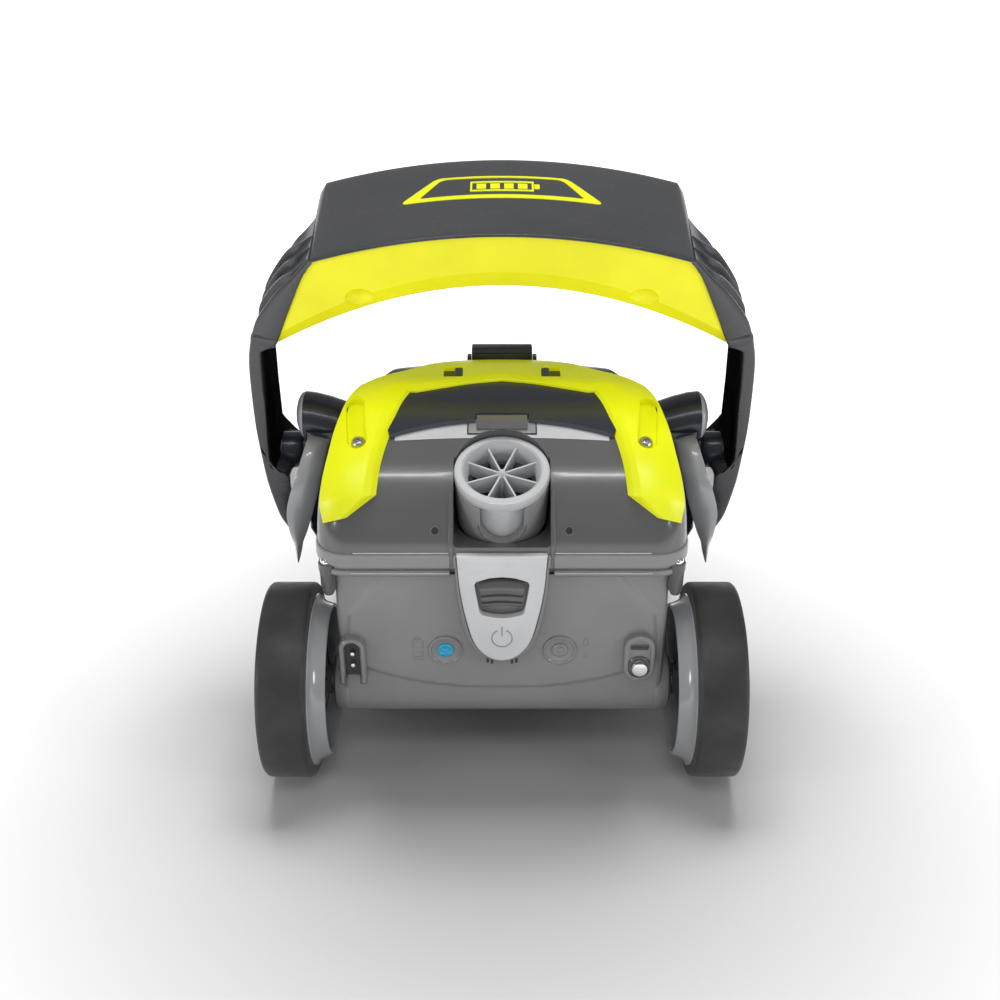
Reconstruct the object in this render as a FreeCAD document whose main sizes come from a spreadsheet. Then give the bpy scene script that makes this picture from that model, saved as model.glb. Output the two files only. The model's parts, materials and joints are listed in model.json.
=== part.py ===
"""Cordless jet-driven pool cleaner, as a parametric document of separate pieces.

Frame: millimetres, +Z up, X across the machine (its right side is +X when it is seen from the
jet nozzle), the nozzle end faces -Y. The origin is on the floor, under the middle of the machine.
"""
import FreeCAD, Part
import Sketcher
import math
import os
import re

from FreeCAD import Placement, Rotation, Vector

SIZES = {
    # overall
    "half_length": 175, "seam_height": 195, "wall": 3.5, "gap": 0.6,
    # rear wheels
    "rear_radius": 75, "rear_axle_y": -100, "tyre_inner_x": 143, "tyre_width": 36.6,
    "tyre_depth": 12, "hub_lip_x": 130, "hub_lip_radius": 58, "axle_radius": 5, "run_gap": 0.06,
    "bore_boss": 12,
    # front wheels
    "front_radius": 42, "front_axle_y": 128, "front_wheel_x": 126, "front_width": 26,
    # lower housing
    "tub_half_width": 122, "tub_rear_y": -125, "tub_front_y": 160, "tub_base": 50,
    "boss_radius": 25, "boss_length": 7, "flange_half_width": 133.5, "flange_depth": 9,
    "flange_rear_y": -132,
    # dome of the upper shell: half axes and the centres they grow from
    "dome_rise": 93, "dome_rear_run": 113, "dome_rear_centre": -20, "dome_front_run": 168,
    "dome_front_centre": 0, "dome_side": 64, "dome_side_centre": 70, "dome_corner": 25,
    "dome_corner_growth": 70,
    "lid_top": 3.6, "band_top": 8,
    # jet nozzle, along its own tilted axis from the centre of its mouth
    "nozzle_y": -106, "nozzle_z": 256, "nozzle_tilt": 19, "nozzle_bore": 22, "barrel_radius": 25.5,
    "barrel_length": 88, "mouth_radius": 32.5, "saddle_half_width": 34.5, "saddle_floor": 205,
    # control plate and what sits beside it
    "panel_y": 125, "plate_depth": 5, "lamp_z": 119, "lamp_left": -42, "lamp_right": 43,
    "lamp_ring": 12.6, "lens_radius": 5.9,
    # handle
    "handle_pivot_y": 20, "handle_pivot_z": 215, "pin_radius": 8, "arm_rear_y": -20, "arm_depth": 82,
    "grip_depth": 112,
    # base
    "mouth_half_width": 70, "mouth_y": 30, "mouth_length": 34,
}

doc = FreeCAD.newDocument("PoolCleaner")
sheet = doc.addObject("Spreadsheet::Sheet", "Sizes")
for row, (alias, amount) in enumerate(SIZES.items(), start=1):
    sheet.set(f"A{row}", alias)
    sheet.set(f"B{row}", str(amount))
    sheet.setAlias(f"B{row}", alias)
doc.recompute()

pieces = []


def size(name):
    """A driving dimension, read from the sheet."""
    return float(sheet.get(name))


def formula(text):
    """The sheet's names inside a formula, written out so that other objects can use it."""
    return re.sub(r"[a-z][a-z_]*", lambda word: "Sizes." + word.group() if word.group() in SIZES
                  else word.group(), str(text))


def amount_of(text):
    """What a formula comes to."""
    result = sheet.evalExpression(formula(text))
    return float(getattr(result, "Value", result))


def bind(thing, **sizes):
    for name, text in sizes.items():
        thing.setExpression(name, formula(text))


def place(thing, at, turn=None):
    """Put an object at a point given by three formulas, turned about (axis, angle)."""
    if turn:
        thing.Placement = Placement(Vector(), Rotation(Vector(*turn[0]), turn[1]))
    for axis, text in zip("xyz", at):
        thing.setExpression("Placement.Base." + axis, formula(text))


def keep(thing, label=None):
    """Mark an object as one finished piece of the machine."""
    if label:
        thing.Label = label
    pieces.append(thing)
    return thing


# ---------------------------------------------------------------- Part primitives and booleans

def box(name, corner, span):
    solid = doc.addObject("Part::Box", name)
    bind(solid, Length=span[0], Width=span[1], Height=span[2])
    place(solid, corner)
    return solid


def cylinder(name, radius, length, at, turn=None):
    solid = doc.addObject("Part::Cylinder", name)
    bind(solid, Radius=radius, Height=length)
    place(solid, at, turn)
    return solid


def cone(name, low_radius, high_radius, length, at, turn=None):
    solid = doc.addObject("Part::Cone", name)
    bind(solid, Radius1=low_radius, Radius2=high_radius, Height=length)
    place(solid, at, turn)
    return solid


def cut(name, base, *tools):
    for number, tool in enumerate(tools):
        result = doc.addObject("Part::Cut", name if number == len(tools) - 1 else f"{name}_{number}")
        result.Base = base
        result.Tool = tool
        base = result
    return base


def fuse(name, *parts):
    result = doc.addObject("Part::MultiFuse", name)
    result.Shapes = list(parts)
    return result


def group(name, *parts):
    """Identical fasteners in one node, as separate solids."""
    result = doc.addObject("Part::Compound", name)
    result.Links = list(parts)
    return result


ACROSS = ((0, 1, 0), 90)       # local +Z to +X
BACKWARD = ((1, 0, 0), 90)     # local +Z to -Y


# ---------------------------------------------------------------- PartDesign helpers

def origin_plane(body, role):
    return next(feature for feature in body.Origin.OriginFeatures if feature.Role == role)


def sketch_on(body, name, role, offset, outline):
    """A closed outline: a list of points as pairs of formulas, or a circle (x, y, radius)."""
    sketch = body.newObject("Sketcher::SketchObject", name)
    sketch.AttachmentSupport = [(origin_plane(body, role), "")]
    sketch.MapMode = "FlatFace"
    bind(sketch, **{"AttachmentOffset.Base.z": offset})
    if isinstance(outline, tuple):
        draw_circle(sketch, *outline)
    else:
        draw_outline(sketch, outline)
    return sketch


def constrain(sketch, kind, places, text):
    number = sketch.addConstraint(Sketcher.Constraint(kind, *places, amount_of(text)))
    sketch.setExpression(f"Constraints[{number}]", formula(text))


def draw_circle(sketch, x, y, radius):
    centre = Vector(amount_of(x), amount_of(y), 0)
    edge = sketch.addGeometry(Part.Circle(centre, Vector(0, 0, 1), amount_of(radius)), False)
    constrain(sketch, "Radius", (edge,), radius)
    constrain(sketch, "DistanceX", (-1, 1, edge, 3), x)
    constrain(sketch, "DistanceY", (-1, 1, edge, 3), y)


def draw_outline(sketch, outline):
    corners = [Vector(amount_of(x), amount_of(y), 0) for x, y in outline]
    count = len(corners)
    for number in range(count):
        line = Part.LineSegment(corners[number], corners[(number + 1) % count])
        sketch.addGeometry(line, False)
    for number in range(count):
        sketch.addConstraint(Sketcher.Constraint("Coincident", number, 2, (number + 1) % count, 1))
    for number, (x, y) in enumerate(outline):
        constrain(sketch, "DistanceX", (-1, 1, number, 1), x)
        constrain(sketch, "DistanceY", (-1, 1, number, 1), y)


def padded(name, role, outline, start, depth, windows=(), at=("0", "0", "0")):
    """A plate of an outline, padded from start to start + depth, with windows right through."""
    body = doc.addObject("PartDesign::Body", name)
    sketch = sketch_on(body, name + "_outline", role, start, outline)
    pad = body.newObject("PartDesign::Pad", name + "_pad")
    pad.Profile = sketch
    bind(pad, Length=depth)
    for number, window in enumerate(windows):
        opening = sketch_on(body, f"{name}_window_{number}", role, f"{start} + {depth}", window)
        pocket = body.newObject("PartDesign::Pocket", f"{name}_pocket_{number}")
        pocket.Profile = opening
        bind(pocket, Length=depth)
    place(body, at)
    return body


def turned(name, outline, at, role="XY_Plane", about="H_Axis", turn=None):
    """A body of revolution: the outline lies beside the axis it is turned about."""
    body = doc.addObject("PartDesign::Body", name)
    sketch = sketch_on(body, name + "_section", role, "0", outline)
    spin = body.newObject("PartDesign::Revolution", name + "_turned")
    spin.Profile = sketch
    spin.ReferenceAxis = (sketch, [about])
    spin.Angle = 360
    place(body, at, turn)
    return body


def round_edges(body, radius, wanted):
    """Fillet the edges of a body's tip whose middle passes a test."""
    doc.recompute()
    base = body.Tip
    names = [f"Edge{number}" for number, edge in enumerate(base.Shape.Edges, start=1) if wanted(edge)]
    fillet = body.newObject("PartDesign::Fillet", body.Name + "_rounding")
    fillet.Base = (base, names)
    bind(fillet, Radius=radius)
    return body


def middle(edge):
    return edge.valueAt((edge.FirstParameter + edge.LastParameter) / 2)


# ---------------------------------------------------------------- moulded free forms

def moulded(name, shape):
    """A free-form moulding, made with Part's own functions."""
    feature = doc.addObject("Part::Feature", name)
    feature.Shape = shape
    return feature


def rounded_rectangle(half_width, y_rear, y_front, rear_radius, front_radius, z):
    """A wire with four corner arcs, level at z; the front pair may be rounder than the rear pair."""
    rear_in, front_in = y_rear + rear_radius, y_front - front_radius
    corners = [(half_width - rear_radius, rear_in, rear_radius, -90),
               (half_width - front_radius, front_in, front_radius, 0),
               (front_radius - half_width, front_in, front_radius, 90),
               (rear_radius - half_width, rear_in, rear_radius, 180)]
    arcs = []
    for x, y, radius, start in corners:
        points = [Vector(x + radius * math.cos(math.radians(start + step)),
                         y + radius * math.sin(math.radians(start + step)), z) for step in (0, 45, 90)]
        arcs.append(Part.Arc(*points))
    edges = []
    for number, arc in enumerate(arcs):
        edges.append(arc.toShape())
        follower = arcs[(number + 1) % len(arcs)]
        edges.append(Part.LineSegment(arc.EndPoint, follower.StartPoint).toShape())
    return Part.Wire(edges)


DOME_SHARES = (0.15, 0.3, 0.45, 0.6, 0.72, 0.82, 0.9, 0.96, 1.0)
FRONT_POWER = 1.4


def dome_level(grow, share):
    """Half width, rear, front and height of the dome where it has climbed a share of its rise."""
    rear_run = (size("dome_rear_run") + grow) * math.sqrt(max(0, 1 - share ** 2))
    front_run = (size("dome_front_run") + grow) * max(0, 1 - share ** FRONT_POWER) ** (1 / FRONT_POWER)
    across = (size("dome_side") + grow) * max(0, 1 - share ** 3) ** (1 / 3)
    height = size("seam_height") + share * (size("dome_rise") + grow)
    return (size("dome_side_centre") + across, size("dome_rear_centre") - rear_run,
            size("dome_front_centre") + front_run, height)


def dome(grow, start=0.0):
    """The solid dome, grown outward by a distance, from the seam up."""
    wires = []
    for share in [start] + [share for share in DOME_SHARES if share > start]:
        half_width, rear, front, height = dome_level(grow, share)
        rear_radius = min(size("dome_corner") + grow, (front - rear) / 2 - 1)
        front_radius = rear_radius + size("dome_corner_growth") * share
        front_radius = max(rear_radius, min(front_radius, front - rear - rear_radius - 2))
        wires.append(rounded_rectangle(half_width, rear, front, rear_radius, front_radius, height))
    return Part.makeLoft(wires, True, True)


def slab(low, high):
    """A plain block between two corners."""
    spans = [high[axis] - low[axis] for axis in range(3)]
    return Part.makeBox(*spans, Vector(*low))


def prism(points, along):
    """A straight-sided block: an outline of points swept along a vector."""
    wire = Part.makePolygon([Vector(*point) for point in points + points[:1]])
    return Part.Face(wire).extrude(Vector(*along))


def both_sides(shape):
    """A right-hand shape and its mirror image."""
    return shape.fuse(shape.mirror(Vector(), Vector(1, 0, 0)))


def nozzle_frame():
    return Placement(Vector(0, size("nozzle_y"), size("nozzle_z")),
                     Rotation(Vector(1, 0, 0), size("nozzle_tilt")))


def nozzle_cylinder(radius, low, high):
    solid = Part.makeCylinder(radius, high - low, Vector(0, 0, low))
    solid.Placement = nozzle_frame()
    return solid


# ---------------------------------------------------------------- the machine's shells

def tub_form(name, inset, top):
    """The tub's block, or its inside: a flat rear face whose lower edge is rounded about the axle."""
    low, rear = f"(tub_base + {inset})", f"(tub_rear_y + {inset})"
    profile = [(rear, low), (f"tub_front_y - {inset} - 12", low), (f"tub_front_y - {inset}", top),
               (rear, top)]
    body = padded(name, "YZ_Plane", profile, f"-tub_half_width + {inset}",
                  f"2 * (tub_half_width - {inset})")
    return round_edges(body, f"boss_radius - 1 - {inset}",
                       lambda edge: abs(middle(edge).y - amount_of(rear)) < 0.1
                       and abs(middle(edge).z - amount_of(low)) < 0.1)


def make_lower_housing():
    """An open tub: flat rear face, rounded rear edge round the axle, bosses for the stub axles."""
    body = tub_form("tub_block", "0", "seam_height - flange_depth")
    inside = tub_form("tub_inside", "wall", "seam_height")
    bosses = cylinder("tub_bosses", "boss_radius", "2 * (tub_half_width + boss_length)",
                      ("-tub_half_width - boss_length", "rear_axle_y", "rear_radius"), ACROSS)
    fillings = cut("tub_hollow", fuse("tub_with_bosses", body, bosses), inside)
    axle_hole = cylinder("tub_axle_hole", "axle_radius", "3 * tub_half_width",
                         ("-1.5 * tub_half_width", "rear_axle_y", "rear_radius"), ACROSS)
    duct = box("tub_duct", ("-mouth_half_width - wall", "mouth_y - wall", "tub_base - 1"),
               ("2 * (mouth_half_width + wall)", "mouth_length + 2 * wall", "wall + 2"))
    port = box("tub_port", ("-115.5", "tub_rear_y - 1", "102"), ("8.5", "wall + 2", "21"))
    keep(cut("lower_housing", fillings, axle_hole, duct, port))


def make_flange():
    """The rim that closes the tub and carries the corner screws."""
    outer = slab((-size("flange_half_width"), size("flange_rear_y"), size("seam_height") - 9),
                 (size("flange_half_width"), size("tub_front_y") + 6, size("seam_height") - 1.5))
    inner = slab((-size("tub_half_width") + 4, size("tub_rear_y") + 4, 0),
                 (size("tub_half_width") - 4, size("tub_front_y") - 16, 300))
    corners = [edge for edge in outer.Edges if abs(edge.tangentAt(0).z) > 0.9]
    keep(moulded("seam_flange", outer.makeFillet(12, corners).cut(inner)))
    gasket_outer = slab((-121, -121, size("seam_height") - 1.5), (121, size("tub_front_y") - 6,
                                                                  size("seam_height") - 0.1))
    gasket_inner = slab((-117, -117, 0), (117, size("tub_front_y") - 10, 300))
    keep(moulded("seam_gasket", gasket_outer.cut(gasket_inner)))


def nozzle_collar():
    """The shell's own cup round the nozzle, open at the rear in the shape of a U."""
    window = slab((-15, -50, -26), (15, 0, 0)).fuse(
        Part.makeCylinder(15, 50, Vector(0, -50, -26), Vector(0, 1, 0)))
    window.Placement = nozzle_frame()
    return nozzle_cylinder(32, -60, -9.6).cut(window)


def make_upper_shell():
    """The dome, hollow, with the saddle that the nozzle stands in and the filter opening."""
    outer = dome(0)
    hollow = dome(-size("wall")).fuse(slab((-128, -127, 190), (128, 162, 196)))
    half, floor = size("saddle_half_width"), size("saddle_floor")
    wall = size("wall")
    saddle_block = slab((-half - wall, -140, floor - wall), (half + wall, -66, 300)).common(outer)
    saddle = slab((-half, -145, floor), (half, -69.5, 320))
    opening = slab((-66, -42, 200), (66, 46, 320))
    vent = nozzle_cylinder(size("barrel_radius") + 0.2, -100, 0)
    shell = outer.cut(hollow).fuse(saddle_block).cut(saddle).cut(opening)
    shell = shell.fuse(nozzle_collar().common(saddle)).cut(vent)
    for side in (-1, 1):
        shell = shell.cut(Part.makeCylinder(2.6, 20, Vector(47.4 * side, -140, 222.5), Vector(0, 1, 0)))
    ears = both_sides(slab((24.4, 47, 273), (28, 53, 294.5)))
    pin = Part.makeCylinder(1.2, 56, Vector(-28, 50, 292.5), Vector(1, 0, 0))
    plate_room = slab((-33, -140, 190), (33, -127, 202.4))
    shell = shell.cut(plate_room)
    screw_room = [Part.makeCylinder(5.4, 4, Vector(x, -124, size("seam_height") - 1.5)) for x in (-126, 126)]
    screw_room += [Part.makeCylinder(5.4, 4, Vector(x, 158, size("seam_height") - 1.5)) for x in (-126, 126)]
    for room in screw_room:
        shell = shell.cut(room)
    keep(moulded("upper_shell", shell.fuse(ears).cut(pin).removeSplitter()))
    keep(moulded("lid_hinge_pin", pin))


def lid_plan():
    """The straight block that holds everything the lid covers."""
    return prism([(-94, 50, 240), (94, 50, 240), (94, -45, 240), (82, -68, 240), (-82, -68, 240),
                  (-94, -45, 240)], (0, 0, 80))


def make_lid():
    top = dome(size("lid_top"), 0.3).common(lid_plan()).cut(dome(size("gap")))
    front_tab = slab((-24, 33, 270), (24, 45.5, 299.5)).cut(dome(size("gap")))
    front_tab = front_tab.fuse(slab((-24, 45, 286), (24, 53, 299.5)))
    pin_hole = Part.makeCylinder(1.2 + size("run_gap"), 80, Vector(-40, 50, 292.5), Vector(1, 0, 0))
    latch_seat = slab((-19.5, -80, 260), (19.5, -64, 300))
    lid = top.cut(slab((-100, 45.5, 240), (100, 60, 300))).fuse(front_tab).cut(latch_seat).cut(pin_hole)
    keep(moulded("lid", lid.removeSplitter()))
    latch = prism([(-18.5, -77, 278), (-18.5, -64.6, 284.4), (-18.5, -64.6, 281.6), (-18.5, -74, 277),
                   (-18.5, -76.6, 273)], (37, 0, 0))
    latch = latch.fuse(Part.makeCylinder(1.2, 37, Vector(-18.5, -65.5, 283), Vector(1, 0, 0)))
    keep(moulded("lid_latch", latch))


def band_plan():
    """The horseshoe, seen from above."""
    right = [(0, 15), (53, 4), (93, -21), (113, -39), (123, -62), (145, -84), (145, -150), (89.5, -150),
             (89.5, -112), (80, -86), (70, -50), (60, -40), (24, -34), (0, -32)]
    left = [(-x, y) for x, y in reversed(right[1:-1])]
    return prism([(x, y, 190) for x, y in right + left], (0, 0, 140))


def make_band():
    """The horseshoe band over the dome: an arch across the lid and two arms down the corners."""
    sleeve = dome(size("band_top"), 0.1).common(band_plan()).cut(dome(size("gap")))
    sleeve = sleeve.cut(dome(size("lid_top") + 0.1, 0.2).common(lid_plan()))
    foot = prism([(0, -170, 180), (0, -170, 247), (90, -170, 247), (110, -170, 233), (131, -170, 226),
                  (150, -170, 226), (150, -170, 180)], (0, 200, 0))
    band = sleeve.cut(both_sides(foot))
    for side in (-1, 1):
        band = band.cut(slab((37 * side - 7.5, -3, 280), (37 * side + 7.5, 7, 320)))
        channel = slab((105 * side - 6.5, -88, 279.5), (105 * side + 6.5, -42, 320))
        band = band.cut(channel)
    keep(moulded("lime_band", band.removeSplitter()))
    screws = []
    for side in (-1, 1):
        head = Part.makeSphere(5).common(slab((-6, -6, 0), (6, 6, 6)))
        head.translate(Vector(105 * side, -80, 279.5))
        screws.append(head)
    keep(moulded("band_screws", Part.makeCompound(screws)))


# ---------------------------------------------------------------- jet nozzle, pump and filter

def make_nozzle():
    at = ("0", "nozzle_y", "nozzle_z")
    tilt = ((1, 0, 0), size("nozzle_tilt"))
    barrel = [("nozzle_bore", "-barrel_length"), ("barrel_radius", "-barrel_length"),
              ("barrel_radius", "-9"), ("nozzle_bore", "-9")]
    keep(turned("nozzle_barrel", barrel, at, "XZ_Plane", "V_Axis", tilt))
    mouth = [("nozzle_bore", "-9"), ("barrel_radius + 1.5", "-9"), ("mouth_radius", "-6.5"),
             ("mouth_radius", "-1.5"), ("mouth_radius - 1.5", "0"), ("mouth_radius - 5", "0"),
             ("mouth_radius - 6.5", "-2")]
    keep(turned("nozzle_ring", mouth, at, "XZ_Plane", "V_Axis", tilt))
    hub = Part.makeCone(5.5, 3, 7, Vector(0, 0, -9))
    for number in range(8):
        vane = slab((3, -0.8, -9), (size("nozzle_bore") + 2.6, 0.8, -3.5))
        hub = hub.fuse(vane.rotate(Vector(), Vector(0, 0, 1), 22.5 + 45 * number))
    hub = hub.common(Part.makeCone(size("nozzle_bore") - 0.1, size("nozzle_bore") + 3.2, 7, Vector(0, 0, -9)))
    grille = moulded("nozzle_grille", hub.removeSplitter())
    grille.Placement = nozzle_frame()
    keep(grille)


def make_impeller():
    """Three-bladed axial impeller on the motor's shaft, inside the barrel."""
    blades = Part.makeCylinder(6, 16, Vector(0, 0, -48))
    for number in range(3):
        blade = slab((4, -1, -9), (size("nozzle_bore") - 1, 1, 9)).rotate(Vector(), Vector(1, 0, 0), 50)
        blade.translate(Vector(0, 0, -40))
        blades = blades.fuse(blade.rotate(Vector(), Vector(0, 0, 1), 120 * number))
    reach = Part.makeCylinder(size("nozzle_bore") - 0.8, 16, Vector(0, 0, -48))
    impeller = moulded("impeller", blades.common(reach).cut(Part.makeCylinder(2, 60, Vector(0, 0, -90))))
    impeller.Placement = nozzle_frame()
    keep(impeller)
    shaft = moulded("motor_shaft", Part.makeCylinder(2, 36, Vector(0, 0, -76)))
    shaft.Placement = nozzle_frame()
    keep(shaft)
    casing = Part.makeCylinder(18, 42, Vector(0, 0, -130))
    casing = casing.cut(Part.makeCylinder(2 + size("run_gap"), 60, Vector(0, 0, -100)))
    motor = moulded("pump_motor", casing.cut(Part.makeCylinder(2.5, 30, Vector(0, 0, -112))))
    motor.Placement = nozzle_frame()
    keep(motor)


def make_filter():
    """An open-topped basket under the lid, a frame of bars and panels, with a mesh bag inside it."""
    floor = [slab((-62, -36, 92), (62, 32, 95)), slab((-62, 62, 92), (62, 88, 95)),
             slab((-62, 32, 92), (-40, 62, 95)), slab((40, 32, 92), (62, 62, 95))]
    sides = [slab((-62, -36, 95), (-59, 88, 250)), slab((59, -36, 95), (62, 88, 250))]
    bars = []
    for y in (-36, 85):
        bars += [slab((-59, y, 95), (59, y + 3, 110)), slab((-59, y, 236), (59, y + 3, 250))]
        bars += [slab((x - 4, y, 110), (x + 4, y + 3, 236)) for x in (-55, 0, 55)]
    keep(moulded("filter_basket", Part.makeCompound(floor + sides + bars)))
    net = [slab((-58.5, -32.5, 100), (58.5, 32, 101.2)), slab((-58.5, 62, 100), (58.5, 84.5, 101.2)),
           slab((-58.5, 32, 100), (-40, 62, 101.2)), slab((40, 32, 100), (58.5, 62, 101.2)),
           slab((-58.5, -32.5, 101.2), (-57.3, 84.5, 246)), slab((57.3, -32.5, 101.2), (58.5, 84.5, 246)),
           slab((-57.3, -32.5, 101.2), (57.3, -31.3, 246)), slab((-57.3, 83.3, 101.2), (57.3, 84.5, 246))]
    keep(moulded("filter_mesh", Part.makeCompound(net)))
    duct = slab((-72, 29, 50.1), (72, 65, 91.5)).cut(slab((-70, 31, 0), (70, 63, 300)))
    keep(moulded("intake_duct", duct))


def make_inner_works():
    keep(box("battery_pack", ("-90", "96", "82"), ("180", "38", "96")))
    keep(box("control_board", ("-55", "-117", "88"), ("110", "1.8", "88")))


# ---------------------------------------------------------------- underside

def make_base():
    """The suction plate under the tub, its mouth, the rubber lips and the flap in the mouth."""
    plate = slab((-112, -40, 14), (112, 152, 49.8))
    pad = slab((-96, 84, 12), (96, 146, 14))
    edges = [edge for edge in plate.Edges if abs(edge.tangentAt(0).z) > 0.9]
    plate = plate.makeFillet(14, edges).fuse(pad)
    plate = plate.cut(slab((-70.2, 30.8, 0), (70.2, 63.2, 60)))
    plate = plate.cut(Part.makeCylinder(size("axle_radius"), 300,
                                        Vector(-150, size("front_axle_y"), size("front_radius")),
                                        Vector(1, 0, 0)))
    keep(moulded("base_plate", plate.cut(slab((-66, -34, 24), (66, 24, 60)))))
    lips = []
    for y in (20, 70):
        lips.append(slab((-76, y, 4), (76, y + 3, 14)))
    keep(moulded("suction_lips", Part.makeCompound(lips)))
    flap = slab((-69, 32, 26), (69, 61, 28)).fuse(Part.makeCylinder(2.5, 138, Vector(-69, 34, 27),
                                                                    Vector(1, 0, 0)))
    pin_hole = Part.makeCylinder(1.3 + size("run_gap"), 150, Vector(-75, 34, 27), Vector(1, 0, 0))
    keep(moulded("intake_flap", flap.cut(pin_hole)))
    keep(moulded("flap_pin", Part.makeCylinder(1.3, 140.4, Vector(-70.2, 34, 27), Vector(1, 0, 0))))


def make_front():
    """The front bumper and the weight tray behind it."""
    bumper = slab((-118, 160.2, 92), (118, size("half_length"), 132))
    edges = [edge for edge in bumper.Edges if edge.CenterOfMass.y > 174 or
             (abs(edge.tangentAt(0).z) > 0.9 and edge.CenterOfMass.y > 174)]
    keep(moulded("front_bumper", bumper.makeFillet(8, edges)))


# ---------------------------------------------------------------- wheels

def make_rear_wheel(side, word):
    """Tyre on a rim with a flared lip, its disc and cap. The outlines are for the +X side."""
    turn = None if side > 0 else ((0, 0, 1), 180)
    at = ("0", "rear_axle_y", "rear_radius")
    tyre = [("tyre_inner_x", "rear_radius - tyre_depth"), ("tyre_inner_x", "rear_radius - 2"),
            ("tyre_inner_x + 2", "rear_radius"), ("tyre_inner_x + tyre_width - 2", "rear_radius"),
            ("tyre_inner_x + tyre_width", "rear_radius - 2"),
            ("tyre_inner_x + tyre_width", "rear_radius - tyre_depth")]
    keep(turned(f"rear_tyre_{word}", tyre, at, turn=turn))
    rim = [("hub_lip_x", "hub_lip_radius - 2"), ("hub_lip_x", "hub_lip_radius"),
           ("tyre_inner_x", "rear_radius - tyre_depth + 3.5"),
           ("tyre_inner_x", "rear_radius - tyre_depth"),
           ("tyre_inner_x + tyre_width", "rear_radius - tyre_depth"),
           ("tyre_inner_x + tyre_width", "rear_radius - tyre_depth - 4"),
           ("tyre_inner_x + 14", "rear_radius - tyre_depth - 5"),
           ("tyre_inner_x + 10", "rear_radius - tyre_depth - 6")]
    keep(turned(f"rear_rim_{word}", rim, at, turn=turn))
    disc = [("tyre_inner_x + 14", "rear_radius - tyre_depth - 5"), ("tyre_inner_x + 14", "bore_boss"),
            ("tyre_inner_x + 27", "bore_boss"), ("tyre_inner_x + 27", "axle_radius + run_gap"),
            ("tyre_inner_x - 12", "axle_radius + run_gap"), ("tyre_inner_x - 12", "bore_boss"),
            ("tyre_inner_x + 10", "bore_boss"), ("tyre_inner_x + 10", "rear_radius - tyre_depth - 6")]
    keep(turned(f"rear_disc_{word}", disc, at, turn=turn))
    cap = [("tyre_inner_x + 27", "0"), ("tyre_inner_x + 36", "0"), ("tyre_inner_x + 35", "14"),
           ("tyre_inner_x + 27", "20")]
    keep(turned(f"rear_cap_{word}", cap, at, turn=turn))


def make_front_wheel(side, word):
    turn = None if side > 0 else ((0, 0, 1), 180)
    at = ("0", "front_axle_y", "front_radius")
    tyre = [("front_wheel_x", "front_radius - 8"), ("front_wheel_x", "front_radius - 2"),
            ("front_wheel_x + 2", "front_radius"), ("front_wheel_x + front_width - 2", "front_radius"),
            ("front_wheel_x + front_width", "front_radius - 2"),
            ("front_wheel_x + front_width", "front_radius - 8")]
    keep(turned(f"front_tyre_{word}", tyre, at, turn=turn))
    hub = [("front_wheel_x", "front_radius - 8"), ("front_wheel_x + front_width", "front_radius - 8"),
           ("front_wheel_x + front_width", "front_radius - 12"),
           ("front_wheel_x + 16", "front_radius - 13"), ("front_wheel_x + 16", "10"),
           ("front_wheel_x + 22", "10"), ("front_wheel_x + 22", "axle_radius + run_gap"),
           ("front_wheel_x - 2", "axle_radius + run_gap"), ("front_wheel_x - 2", "10"),
           ("front_wheel_x + 12", "10"), ("front_wheel_x + 12", "front_radius - 13"),
           ("front_wheel_x", "front_radius - 12")]
    keep(turned(f"front_hub_{word}", hub, at, turn=turn))


def make_axles():
    """Two stub axles at the rear, pressed into the tub's bosses, and two in the base plate."""
    rear = [cylinder(f"rear_stub_{number}", "axle_radius", "tyre_inner_x + 38 - tub_half_width",
                     (start, "rear_axle_y", "rear_radius"), ACROSS)
            for number, start in enumerate(("tub_half_width - 12", "-tyre_inner_x - 26"))]
    front = [cylinder(f"front_stub_{number}", "axle_radius", "front_wheel_x + 46 - tub_half_width",
                      (start, "front_axle_y", "front_radius"), ACROSS)
             for number, start in enumerate(("tub_half_width - 22", "-front_wheel_x - 24"))]
    keep(group("axles", *rear, *front))


# ---------------------------------------------------------------- rear panel

def make_control_plate():
    """The shield-shaped plate in the middle of the rear panel, with the slider's window."""
    shield = [("-32.5", "202"), ("-31", "176.6"), ("-27", "148"), ("-23.5", "133.6"), ("-14", "119"),
              ("0", "112"), ("14", "119"), ("23.5", "133.6"), ("27", "148"), ("31", "176.6"),
              ("32.5", "202")]
    window = [("-19.5", "178.5"), ("-16.5", "152.5"), ("0", "149"), ("16.5", "152.5"),
              ("19.5", "178.5"), ("0", "184")]
    keep(padded("control_plate", "XZ_Plane", shield, "panel_y + 7.2", "plate_depth", [window]))
    seat = [("-34", "186"), ("-30", "146"), ("-24", "128"), ("0", "108"), ("24", "128"), ("30", "146"),
            ("34", "186")]
    keep(padded("plate_seat", "XZ_Plane", seat, "panel_y", "7.1"))
    thumb = [("-15", "177"), ("-13", "157"), ("13", "157"), ("15", "177")]
    keep(padded("power_slider", "XZ_Plane", thumb, "panel_y + 7.4", "6"))


def make_lamps():
    rings = []
    for word, x in (("left", "lamp_left"), ("right", "lamp_right")):
        ring = [("lens_radius + 0.1", "0"), ("lamp_ring", "0"), ("lamp_ring", "1.5"),
                ("lamp_ring - 2", "3"), ("lens_radius + 2", "2")]
        at = (x, "-panel_y - 0.05", "lamp_z")
        rings.append(turned(f"ring_{word}", ring, at, "XZ_Plane", "V_Axis", BACKWARD))
        lens = [("0", "0"), ("lens_radius", "0"), ("lens_radius", "2"), ("lens_radius - 1.6", "3.6"),
                ("0", "4.4")]
        keep(turned(f"lamp_lens_{word}", lens, at, "XZ_Plane", "V_Axis", BACKWARD))
    keep(group("lamp_rings", *rings))


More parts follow.
